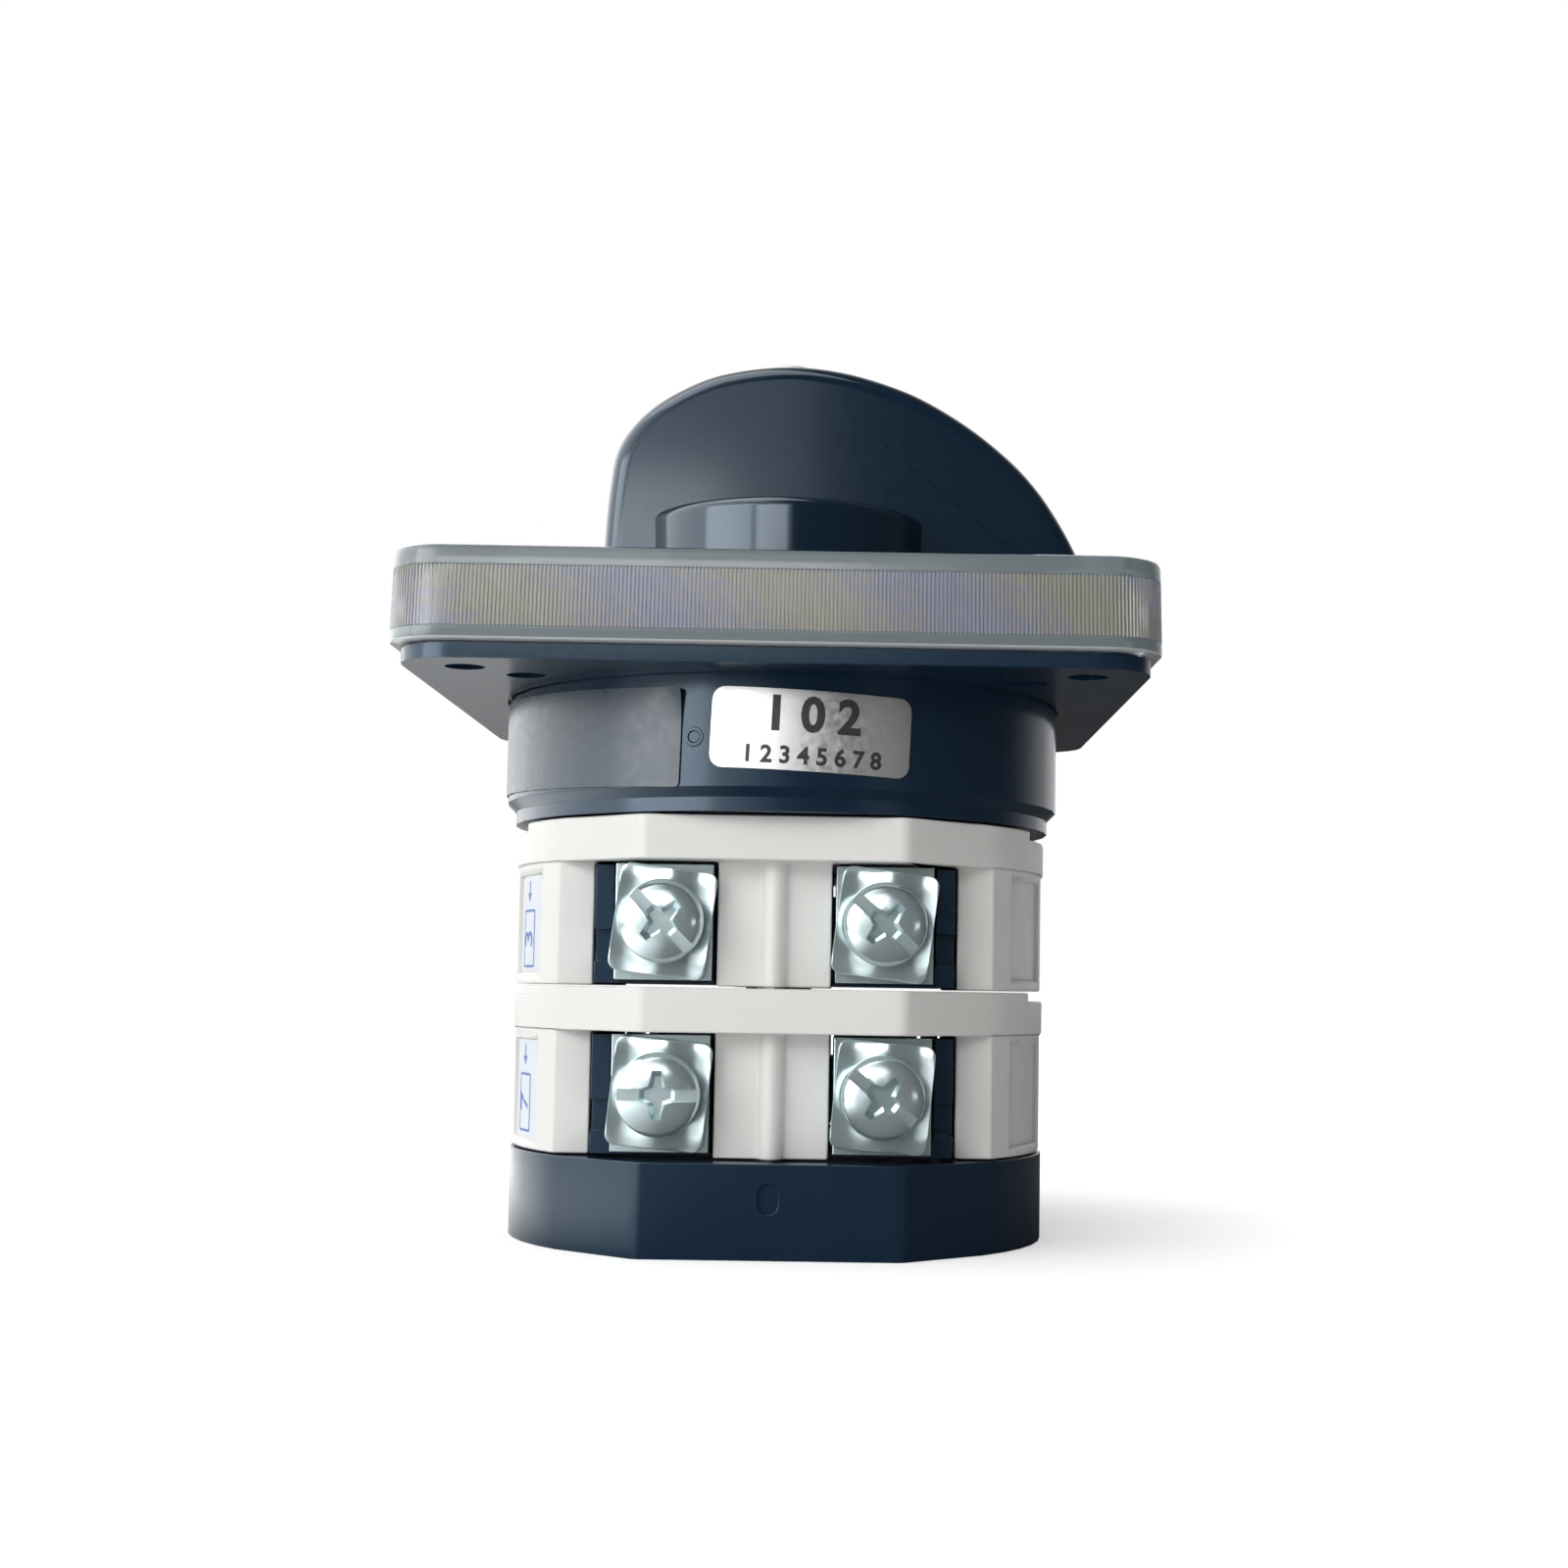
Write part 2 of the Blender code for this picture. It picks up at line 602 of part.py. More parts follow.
def make_contact_block(stage):
    base = STAGE_Z[stage]
    floor_low = base + SEAM
    floor_top = floor_low + BLOCK_FLOOR
    wall_top = base + WINDOW_HEIGHT - SIDE_GAP
    hole = circle(SHAFT_HOLE_RADIUS, SMALL_STEPS)
    block = flat_solid(f"{stage}_block", [block_floor_outline(), hole], floor_low, floor_top, NAVY)
    edge_y = TERMINAL_FACE_Y - TERMINAL_PLATE_THICKNESS - SIDE_GAP
    wall_start = CENTRE_WALL_HALF + SIDE_GAP
    slot_inner = ARM_OUTER_X - ARM_THICKNESS - SIDE_GAP
    slot_outer = ARM_OUTER_X + SIDE_GAP
    axis_z = base + AXIS_HEIGHT
    guide_top = axis_z + PLUNGER_HEIGHT / 2 + SLIDING_GAP
    guide_start = CAM_RADIUS + CAM_THROW + GUIDE_SETBACK
    guide_inner = PLUNGER_WIDTH / 2 + SLIDING_GAP
    bore_radius = SCREW_RADIUS + 2 * HOLE_GAP
    outside = BLOCK_HALF_X + OVERRUN
    sunk = floor_low + BLOCK_FLOOR / 2
    for side in SIDES:
        for face in SIDES:
            key = f"{stage}_{side}_{face}"
            near = face * edge_y
            far = face * (edge_y - BLOCK_WALL_DEPTH)
            ys = sorted((near, far))
            for start, end in ((wall_start, slot_inner), (slot_outer, BLOCK_HALF_X)):
                xs = sorted((side * start, side * end))
                fuse(block, box(f"{key}_wall", (xs[0], ys[0], sunk), (xs[1], ys[1], wall_top)))
            x = side * TERMINAL_X
            outer_end = (x, near + face * OVERRUN, axis_z)
            inner_end = (x, far - face * OVERRUN, axis_z)
            cut(block, cylinder(f"{key}_screw_bore", bore_radius, outer_end, inner_end))
            xs = sorted((side * slot_outer, side * outside))
            ys = sorted((near - face * BLOCK_STEP_DEPTH, near + face * OVERRUN))
            cut(block, box(
                f"{key}_step", (xs[0], ys[0], floor_top + SIDE_GAP), (xs[1], ys[1], base + BLOCK_STEP_HEIGHT)
            ))
            xs = sorted((side * guide_start, side * (guide_start + GUIDE_LENGTH)))
            ys = sorted((face * guide_inner, face * (guide_inner + GUIDE_WALL)))
            fuse(block, box(f"{key}_guide", (xs[0], ys[0], sunk), (xs[1], ys[1], guide_top)))
    return block


# Terminals
def make_terminal(stage, side, face):
    base = STAGE_Z[stage]
    name = f"{stage}_terminal_{SIDE_NAMES[side]}_{FACE_NAMES[face]}"
    axis_z = base + AXIS_HEIGHT
    half_width = TERMINAL_PLATE_WIDTH / 2
    half_height = WINDOW_HEIGHT / 2 - TERMINAL_MARGIN
    back_y = TERMINAL_FACE_Y - TERMINAL_PLATE_THICKNESS
    xs = sorted((side * (TERMINAL_X - half_width), side * (TERMINAL_X + half_width)))
    ys = sorted((face * TERMINAL_FACE_Y, face * back_y))
    terminal = box(name, (xs[0], ys[0], axis_z - half_height), (xs[1], ys[1], axis_z + half_height), ZINC)
    xs = sorted((side * (ARM_OUTER_X - ARM_THICKNESS), side * ARM_OUTER_X))
    ys = sorted((face * (back_y + TERMINAL_PLATE_THICKNESS / 2), face * ARM_END_Y))
    half_arm = ARM_HEIGHT / 2
    arm = box(name + "_arm", (xs[0], ys[0], axis_z - half_arm), (xs[1], ys[1], axis_z + half_arm))
    pad_start = (side * (ARM_OUTER_X - ARM_THICKNESS / 2), face * PAD_Y, axis_z)
    pad_end = (side * PAD_FACE_X, face * PAD_Y, axis_z)
    pad = cylinder(name + "_pad", PAD_RADIUS, pad_start, pad_end)
    fuse(terminal, arm, pad)
    x = side * TERMINAL_X
    outer_end = (x, face * (TERMINAL_FACE_Y + OVERRUN), axis_z)
    inner_end = (x, face * (back_y - OVERRUN), axis_z)
    cut(terminal, cylinder(name + "_hole", SCREW_RADIUS + HOLE_GAP, outer_end, inner_end))
    return terminal


def make_clamp_plate(stage, side, face):
    """A square plate with two shallow grooves for the wires, one each side of the screw."""
    axis_z = STAGE_Z[stage] + AXIS_HEIGHT
    name = f"{stage}_clamp_{SIDE_NAMES[side]}_{FACE_NAMES[face]}"
    width = TERMINAL_PLATE_WIDTH - 2 * CLAMP_SIDE_MARGIN
    height = WINDOW_HEIGHT - 2 * TERMINAL_MARGIN - 2 * CLAMP_END_MARGIN
    columns = 6
    bm = bmesh.new()
    bmesh.ops.create_grid(bm, x_segments=columns, y_segments=1, size=0.5)
    bmesh.ops.scale(bm, vec=(width, height, 1), verts=bm.verts)
    for vert in bm.verts:
        vert.co.z = CLAMP_WAVE * math.cos(3 * math.pi * vert.co.x / width)
    upright = Matrix.Rotation(math.radians(90), 4, "X")
    if face > 0:
        upright = Matrix.Rotation(math.pi, 4, "Z") @ upright
    tilt = Matrix.Rotation(-face * CLAMP_TILT, 4, "Y")
    middle_y = TERMINAL_FACE_Y + SEAT_GAP + CLAMP_WAVE + CLAMP_THICKNESS / 2
    matrix = Matrix.Translation((side * TERMINAL_X, face * middle_y, axis_z)) @ tilt @ upright
    bmesh.ops.transform(bm, matrix=matrix, verts=bm.verts)
    clamp = place(name, mesh_from(bm, name), ZINC)
    shell = clamp.modifiers.new("thickness", "SOLIDIFY")
    shell.thickness = CLAMP_THICKNESS
    shell.offset = 0.0
    hole_radius = SCREW_RADIUS + 2 * HOLE_GAP
    x = side * TERMINAL_X
    outer_end = (x, face * (middle_y + CLAMP_THICKNESS + OVERRUN), axis_z)
    inner_end = (x, face * (middle_y - CLAMP_THICKNESS - OVERRUN), axis_z)
    cut(clamp, cylinder(name + "_hole", hole_radius, outer_end, inner_end))
    return clamp


def make_terminal_screw(stage, side, face):
    axis_z = STAGE_Z[stage] + AXIS_HEIGHT
    name = f"{stage}_screw_{SIDE_NAMES[side]}_{FACE_NAMES[face]}"
    seat_y = TERMINAL_FACE_Y + 2 * SEAT_GAP + 2 * CLAMP_WAVE + CLAMP_THICKNESS
    crown = SCREW_HEAD_HEIGHT
    profile = [
        (0, crown),
        (SCREW_HEAD_RADIUS * 0.62, crown * 0.9),
        (SCREW_HEAD_RADIUS, crown * 0.45),
        (SCREW_HEAD_RADIUS, 0),
        (SCREW_RADIUS, 0),
        (SCREW_RADIUS, -SCREW_LENGTH),
        (0, -SCREW_LENGTH),
    ]
    outward = Matrix.Rotation(math.radians(-90 * face), 4, "X")
    matrix = Matrix.Translation((side * TERMINAL_X, face * seat_y, axis_z)) @ outward
    screw = turned_solid(name, profile, ZINC, matrix=matrix)
    reach = SCREW_HEAD_RADIUS + OVERRUN
    half_slot = SCREW_SLOT_WIDTH / 2
    floor = crown - SCREW_SLOT_DEPTH
    slot = box(name + "_slot", (-reach, -half_slot, floor), (reach, half_slot, crown + OVERRUN))
    turn = math.radians(SCREW_SLOT_TURNS[(stage, side, face)])
    slot.matrix_world = matrix @ Matrix.Rotation(face * turn, 4, "Z")
    cut(screw, slot)
    return screw


# Cams and contacts
def cam_outline():
    """An even spiral on each side, so each plunger moves in step with the knob."""
    points = []
    steps = 36
    for step in range(steps):
        angle = 2 * math.pi * step / steps
        from_low = abs(math.pi - abs(((angle - math.pi / 2) % (2 * math.pi)) - math.pi))
        share = min(max((from_low - (math.pi / 2 - TURN_LIMIT)) / (2 * TURN_LIMIT), 0), 1)
        radius = CAM_RADIUS - CAM_THROW + 2 * CAM_THROW * share
        points.append((radius * math.cos(angle), radius * math.sin(angle)))
    return points


def make_cam(stage):
    low = STAGE_Z[stage] + AXIS_HEIGHT - WINDOW_HEIGHT / 2 + CAM_MARGIN
    high = STAGE_Z[stage] + AXIS_HEIGHT + WINDOW_HEIGHT / 2 - CAM_MARGIN
    return flat_solid(f"{stage}_cam", [cam_outline(), square(BORE_HALF)], low, high, GREY)


def make_contact_train(stage, side):
    """A plunger and the bridge that it carries, with the spring that closes them."""
    axis_z = STAGE_Z[stage] + AXIS_HEIGHT
    where = f"{stage}_{{}}_{SIDE_NAMES[side]}"
    half_width = PLUNGER_WIDTH / 2
    half_height = PLUNGER_HEIGHT / 2
    nose = arc(half_width, math.pi / 2, 3 * math.pi / 2, 8, (PLUNGER_START_X + half_width, 0))
    end_x = BRIDGE_X - SEAT_GAP
    outline = nose + [(end_x, -half_width), (end_x, half_width)]
    turn = Matrix.Rotation(0 if side > 0 else math.pi, 4, "Z")
    flat_solid(
        where.format("plunger"), [outline], axis_z - half_height, axis_z + half_height, GREY, turn
    )
    xs = sorted((side * BRIDGE_X, side * (BRIDGE_X + BRIDGE_THICKNESS)))
    bridge = box(
        where.format("bridge"),
        (xs[0], -BRIDGE_HALF_LENGTH, axis_z - ARM_HEIGHT / 2),
        (xs[1], BRIDGE_HALF_LENGTH, axis_z + ARM_HEIGHT / 2),
        COPPER,
    )
    for face in SIDES:
        fuse(bridge, cylinder(
            where.format("bridge_tip") + f"_{face}", PAD_RADIUS,
            (side * TIP_FACE_X, face * PAD_Y, axis_z),
            (side * (BRIDGE_X + BRIDGE_THICKNESS / 2), face * PAD_Y, axis_z),
        ))
    spring(
        where.format("contact_spring"), CONTACT_SPRING_START_X, CONTACT_SPRING_END_X, side, axis_z,
        CONTACT_SPRING_RADIUS, CONTACT_SPRING_WIRE, CONTACT_SPRING_TURNS, STEEL,
    )


# Detent unit
def make_detent_housing():
    top = DETENT_Z + DETENT_HEIGHT
    floor_top = DETENT_Z + DETENT_FLOOR
    profile = [
        (DETENT_CAVITY_RADIUS, top),
        (DETENT_RADIUS, top),
        (DETENT_RADIUS, DETENT_Z + DETENT_NECK_HEIGHT + DETENT_CHAMFER),
        (DETENT_NECK_RADIUS, DETENT_Z + DETENT_NECK_HEIGHT),
        (DETENT_NECK_RADIUS, DETENT_Z),
        (SHAFT_HOLE_RADIUS, DETENT_Z),
        (SHAFT_HOLE_RADIUS, floor_top),
        (DETENT_CAVITY_RADIUS, floor_top),
    ]
    half_step = Matrix.Rotation(math.pi / ROUND_STEPS, 4, "Z")
    housing = turned_solid("detent_housing", profile, NAVY, ROUND_STEPS, half_step, closed=True)
    inner = FOLLOWER_HALF_WIDTH + SLIDING_GAP
    outer = inner + DETENT_GUIDE_WALL
    sunk = DETENT_Z + DETENT_FLOOR / 2
    lug_top = LUG_Z + STOP_LUG_HEIGHT
    end_x = (DETENT_CAVITY_RADIUS + DETENT_RADIUS) / 2
    for side in SIDES:
        for face in SIDES:
            xs = sorted((side * (DETENT_GUIDE_START_X + SIDE_GAP), side * end_x))
            ys = sorted((face * inner, face * outer))
            low = (xs[0], ys[0], sunk)
            fuse(housing, box(f"detent_guide_{side}_{face}", low, (xs[1], ys[1], lug_top - SIDE_GAP)))
        xs = sorted((side * DETENT_GUIDE_START_X, side * (DETENT_GUIDE_START_X + DETENT_BRIDGE_LENGTH)))
        stop_half = inner + DETENT_GUIDE_WALL - SIDE_GAP
        fuse(housing, box(f"detent_stop_{side}", (xs[0], -stop_half, LUG_Z), (xs[1], stop_half, lug_top)))
    for side in SIDES:
        y = side * BOLT_Y
        under = (0, y, DETENT_Z - OVERRUN)
        above = (0, y, floor_top + OVERRUN)
        cut(housing, cylinder(f"detent_bolt_hole_{side}", BOLT_HOLE_RADIUS, under, above))
    return housing


def star_outline():
    points = []
    steps = 8 * STAR_NOTCHES
    for step in range(steps):
        angle = 2 * math.pi * step / steps
        radius = STAR_RADIUS - STAR_NOTCH_DEPTH * (1 + math.cos(STAR_NOTCHES * angle)) / 2
        points.append((radius * math.cos(angle), radius * math.sin(angle)))
    return points


def make_detent_star():
    star = flat_solid("detent_star", [star_outline()], STAR_Z, STAR_TOP, GREY)
    collar_start = (STAR_Z + STAR_TOP) / 2
    collar = cylinder(
        "star_collar", STAR_COLLAR_RADIUS, (0, 0, collar_start), (0, 0, COLLAR_TOP), steps=ROUND_STEPS
    )
    lug = box(
        "stop_lug",
        (-STOP_LUG_HALF_WIDTH, STAR_COLLAR_RADIUS / 2, LUG_Z),
        (STOP_LUG_HALF_WIDTH, STOP_LUG_REACH, LUG_Z + STOP_LUG_HEIGHT),
    )
    fuse(collar, lug)
    fuse(star, collar)
    bore = flat_solid("star_bore", [square(BORE_HALF)], STAR_Z - SIDE_GAP, COLLAR_TOP + SIDE_GAP)
    cut(star, bore)
    return star


def make_detent_follower(side):
    where = SIDE_NAMES[side]
    start = STAR_RADIUS + RUNNING_GAP
    end = start + FOLLOWER_LENGTH
    half = FOLLOWER_HALF_WIDTH
    nose = arc(FOLLOWER_NOSE_RADIUS, math.pi * 0.75, math.pi * 1.25, 6, (start + FOLLOWER_NOSE_RADIUS, 0))
    shoulder_x = nose[0][0] + half - nose[0][1]
    outline = nose + [(shoulder_x, -half), (end, -half), (end, half), (shoulder_x, half)]
    turn = Matrix.Rotation(0 if side > 0 else math.pi, 4, "Z")
    low = DETENT_Z + DETENT_FLOOR + SLIDING_GAP
    flat_solid(f"detent_follower_{where}", [outline], low, STAR_TOP, GREY, turn)
    middle_z = (low + STAR_TOP) / 2
    spring_start = end + SEAT_GAP + DETENT_SPRING_WIRE
    spring_end = DETENT_CAVITY_RADIUS - SEAT_GAP - DETENT_SPRING_WIRE
    radius = (STAR_TOP - low) / 2 - DETENT_SPRING_MARGIN
    spring(
        f"detent_spring_{where}", spring_start, spring_end, side, middle_z,
        radius, DETENT_SPRING_WIRE, DETENT_SPRING_TURNS, STEEL,
    )


# Front plate
def make_base_plate():
    half = PLATE_SIDE / 2 - BASE_INSET
    floor_top = BASE_Z + BASE_FLOOR
    bore = circle(STAR_COLLAR_RADIUS + RUNNING_GAP)
    corner = PLATE_CORNER_RADIUS
    plate = flat_solid(
        "base_plate", [rounded_square(half, corner), bore], BASE_Z, BASE_Z + BASE_FLANGE, NAVY
    )
    tray_half = PLATE_SIDE / 2 - COVER_WALL - COVER_DRAFT - SIDE_GAP
    tray_corner = corner - COVER_WALL
    sunk = BASE_Z + BASE_FLANGE / 2
    floor = flat_solid("base_floor", [rounded_square(tray_half, tray_corner), bore], sunk, floor_top)
    inner_half = tray_half - BASE_TRAY_WALL
    tray = flat_solid(
        "base_tray", [rounded_square(tray_half, tray_corner), rounded_square(inner_half, tray_corner / 2)],
        sunk, TRAY_TOP,
    )
    ring = flat_solid(
        "base_ring", [circle(BASE_RING_RADIUS), circle(BASE_RING_RADIUS - BASE_RING_WALL)], sunk, TRAY_TOP
    )
    fuse(plate, floor, tray, ring)
    under = BASE_Z - OVERRUN
    above = floor_top + OVERRUN
    seat_radius = DETENT_RADIUS + SIDE_GAP
    seat_top = (0, 0, BASE_Z + BASE_SEAT_DEPTH)
    cut(plate, cylinder("drum_seat", seat_radius, (0, 0, under), seat_top, steps=ROUND_STEPS))
    for pitch in (OUTER_HOLE_PITCH, INNER_HOLE_PITCH):
        for x_side in SIDES:
            for y_side in SIDES:
                x = x_side * pitch / 2
                y = y_side * pitch / 2
                cut(plate, cylinder(
                    f"panel_hole_{pitch}_{x_side}_{y_side}", BASE_HOLE_RADIUS, (x, y, under), (x, y, above),
                    steps=PANEL_HOLE_STEPS,
                ))
    for side in SIDES:
        y = side * BOLT_Y
        cut(plate, cylinder(f"base_bolt_hole_{side}", BOLT_HOLE_RADIUS, (0, y, under), (0, y, above)))
    return plate


def make_legend_sheet():
    half = PLATE_SIDE / 2 - COVER_WALL - COVER_DRAFT - SIDE_GAP
    corner = PLATE_CORNER_RADIUS - COVER_WALL
    hole = circle(COVER_HOLE_RADIUS)
    outlines = [rounded_square(half, corner), hole]
    return flat_solid("legend_sheet", outlines, LEGEND_Z, LEGEND_Z + LEGEND_THICKNESS, SHEET)


def make_cover():
    half = PLATE_SIDE / 2
    outlines = [rounded_square(half, PLATE_CORNER_RADIUS), circle(COVER_HOLE_RADIUS)]
    cover = flat_solid("cover", outlines, COVER_Z, COVER_TOP, CLEAR)
    for vert in cover.data.vertices:
        across = math.hypot(vert.co.x, vert.co.y)
        if vert.co.z > COVER_TOP - SEAM and across > half / 2:
            vert.co.x *= 1 - COVER_DRAFT / half
            vert.co.y *= 1 - COVER_DRAFT / half
    edge_round(cover, COVER_EDGE_ROUND, angle=60)
    inner_half = half - COVER_WALL - COVER_DRAFT
    inside = flat_solid(
        "cover_inside", [rounded_square(inner_half, PLATE_CORNER_RADIUS - COVER_WALL)],
        COVER_Z - OVERRUN, COVER_TOP - COVER_TOP_THICKNESS,
    )
    cut(cover, inside)
    return cover


# Spindle and tie bolts
def make_spindle():
    half = SPINDLE_SIDE / 2
    spindle = box("spindle", (-half, -half, JOURNAL_END), (half, half, SPINDLE_TOP), STEEL)
    journal_top = JOURNAL_END + OVERRUN
    journal = cylinder(
        "journal", JOURNAL_RADIUS, (0, 0, JOURNAL_START), (0, 0, journal_top), steps=ROUND_STEPS
    )
    fuse(spindle, journal)
    tap_radius = KNOB_SCREW_RADIUS + HOLE_GAP
    tap_start = SPINDLE_TOP - SPINDLE_TAP_DEPTH
    cut(spindle, cylinder("spindle_tap", tap_radius, (0, 0, tap_start), (0, 0, SPINDLE_TOP + OVERRUN)))
    return spindle


def make_tie_bolt(side):
    where = FACE_NAMES[side]
    floor_top = BASE_Z + BASE_FLOOR
    nut_low = floor_top + SEAM
    nut_top = nut_low + NUT_HEIGHT
    head_top = BOLT_HEAD_RECESS - SIDE_GAP / 2
    profile = [
        (0, nut_top + BOLT_END_ABOVE_NUT),
        (BOLT_RADIUS, nut_top + BOLT_END_ABOVE_NUT),
        (BOLT_RADIUS, head_top),
        (BOLT_HEAD_RADIUS, head_top),
        (BOLT_HEAD_RADIUS, head_top - BOLT_HEAD_HEIGHT),
        (0, head_top - BOLT_HEAD_HEIGHT),
    ]
    y = side * BOLT_Y
    turned_solid(f"tie_bolt_{where}", profile, STEEL, matrix=Matrix.Translation((0, y, 0)))
    hexagon = circle(NUT_RADIUS, 6, (0, y))
    flat_solid(
        f"tie_nut_{where}", [hexagon, circle(BOLT_HOLE_RADIUS, SMALL_STEPS, (0, y))], nut_low, nut_top, STEEL
    )


# Knob: a pointer blade with a crowned top, on a round hub with a neck through the cover
def blade_profile():
    """Side view of the blade, as (along the pointer, height), with smooth stretches between corners."""
    slope = BLADE_POINTER * 0.15 / (KNOB_HEIGHT * 0.40)
    return [
        (-BLADE_BACK, -BLADE_SKIRT, "VECTOR"),
        (-BLADE_BACK, 0.0, "VECTOR"),
        (-BLADE_BACK * 0.96, KNOB_HEIGHT * 0.52, "AUTO"),
        (-BLADE_BACK * 0.80, KNOB_HEIGHT * 0.76, "AUTO"),
        (-BLADE_BACK * 0.34, KNOB_HEIGHT * 0.965, "AUTO"),
        (BLADE_POINTER * 0.05, KNOB_HEIGHT, "AUTO"),
        (BLADE_POINTER * 0.36, KNOB_HEIGHT * 0.92, "AUTO"),
        (BLADE_POINTER * 0.66, KNOB_HEIGHT * 0.69, "AUTO"),
        (BLADE_POINTER * 0.85, KNOB_HEIGHT * 0.40, "AUTO"),
        (BLADE_POINTER, 0.0, "VECTOR"),
        (BLADE_POINTER + slope * BLADE_SKIRT, -BLADE_SKIRT, "VECTOR"),
    ]


def make_knob():
    curve = bpy.data.curves.new("knob", "CURVE")
    curve.dimensions = "2D"
    curve.fill_mode = "BOTH"
    curve.extrude = BLADE_THICKNESS / 2
    curve.resolution_u = 3
    spline = curve.splines.new("BEZIER")
    profile = blade_profile()
    spline.bezier_points.add(len(profile) - 1)
    for point, (x, height, handle) in zip(spline.bezier_points, profile):
        point.co = (x, height, 0)
        point.handle_left_type = handle
        point.handle_right_type = handle
    spline.use_cyclic_u = True
    upright = Matrix.Translation((0, 0, KNOB_Z)) @ Matrix.Rotation(math.radians(90), 4, "X")
    mesh = welded_mesh("knob", curve, upright)
    for vert in mesh.vertices:
        rise = (vert.co.z - KNOB_Z) / KNOB_HEIGHT
        along = vert.co.x / BLADE_POINTER
        vert.co.y *= 1 - BLADE_TOP_TAPER * rise - BLADE_POINTER_TAPER * along
    merge_flat_faces(mesh)
    knob = edge_round(place("knob", mesh, NAVY), BLADE_EDGE_ROUND, segments=3)
    low = (-BLADE_BACK - OVERRUN, -BLADE_THICKNESS, KNOB_Z - BLADE_SKIRT - OVERRUN)
    cut(knob, box("knob_under", low, (BLADE_POINTER + 2 * BLADE_SKIRT, BLADE_THICKNESS, KNOB_Z)))
    hub_top = KNOB_Z + HUB_HEIGHT
    hub = cylinder("hub", HUB_RADIUS, (0, 0, KNOB_Z), (0, 0, hub_top), steps=ROUND_STEPS)
    neck = cylinder(
        "neck", KNOB_NECK_RADIUS, (0, 0, KNOB_NECK_Z), (0, 0, KNOB_Z + HUB_HEIGHT / 2), steps=ROUND_STEPS
    )
    edge_round(hub, BLADE_EDGE_ROUND / 2)
    fuse(knob, hub, neck)
    bore = flat_solid("knob_bore", [square(BORE_HALF)], KNOB_NECK_Z - SIDE_GAP, WEB_Z)
    above = KNOB_Z + KNOB_HEIGHT + OVERRUN
    through = cylinder("knob_through", KNOB_SCREW_RADIUS + HOLE_GAP, (0, 0, WEB_Z - SIDE_GAP), (0, 0, above))
    well = cylinder("knob_well", KNOB_CAP_RADIUS + HOLE_GAP, (0, 0, WEB_TOP), (0, 0, above), steps=CAP_STEPS)
    cut(knob, bore, through, well)
    return knob


def make_knob_screw():
    head_low = WEB_TOP + SEAT_GAP
    shank_end = SPINDLE_TOP - SPINDLE_TAP_DEPTH + SIDE_GAP
    profile = [
        (0, head_low + KNOB_SCREW_HEAD_HEIGHT),
        (KNOB_SCREW_HEAD_RADIUS, head_low + KNOB_SCREW_HEAD_HEIGHT),
        (KNOB_SCREW_HEAD_RADIUS, head_low),
        (KNOB_SCREW_RADIUS, head_low),
        (KNOB_SCREW_RADIUS, shank_end),
        (0, shank_end),
    ]
    return turned_solid("knob_screw", profile, STEEL)


def make_knob_cap():
    top = KNOB_Z + KNOB_HEIGHT
    low = max(top - KNOB_CAP_HEIGHT, WEB_TOP + SEAT_GAP + KNOB_SCREW_HEAD_HEIGHT + SEAT_GAP)
    return cylinder("knob_cap", KNOB_CAP_RADIUS, (0, 0, low), (0, 0, top), WHITE, steps=CAP_STEPS)


clear_scene()
PIECES = new_collection("changeover_cam_switch")
CUTTERS = new_collection("cutters")
NAVY = new_material("navy_thermoplastic", (0.018, 0.035, 0.065), 0.32)
IVORY = new_material("ivory_thermoset", (0.80, 0.79, 0.76), 0.42)
GREY = new_material("grey_acetal", (0.35, 0.36, 0.37), 0.45)
CLEAR = new_material("clear_acrylic", (0.85, 0.88, 0.88), 0.08, alpha=0.35)
SHEET = new_material("legend_film", (0.42, 0.45, 0.46), 0.35)
WHITE = new_material("white_plug", (0.85, 0.85, 0.84), 0.35)
ZINC = new_material("zinc_plated_steel", (0.62, 0.66, 0.68), 0.22, metallic=1.0)
STEEL = new_material("bright_steel", (0.60, 0.60, 0.60), 0.30, metallic=1.0)
COPPER = new_material("silvered_copper", (0.72, 0.50, 0.38), 0.30, metallic=1.0)
SIDE_NAMES = {-1: "left", 1: "right"}
FACE_NAMES = {-1: "front", 1: "back"}

make_end_cap()
for stage_name in STAGE_Z:
    make_stage_housing(stage_name)
    make_contact_block(stage_name)
    make_cam(stage_name)
    for x_sign in SIDES:
        make_contact_train(stage_name, x_sign)
        for y_sign in SIDES:
            make_terminal(stage_name, x_sign, y_sign)
            make_clamp_plate(stage_name, x_sign, y_sign)
            make_terminal_screw(stage_name, x_sign, y_sign)
make_detent_housing()
make_detent_star()
for x_sign in SIDES:
    make_detent_follower(x_sign)
make_base_plate()
make_legend_sheet()
make_cover()
make_spindle()
for y_sign in SIDES:
    make_tie_bolt(y_sign)
make_knob()
make_knob_screw()
make_knob_cap()
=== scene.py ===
"""Changeover cam switch, standing on its end cap: two contact stages, detent unit, front plate and knob."""
import math

import bmesh
import bpy
from mathutils import Matrix, Vector


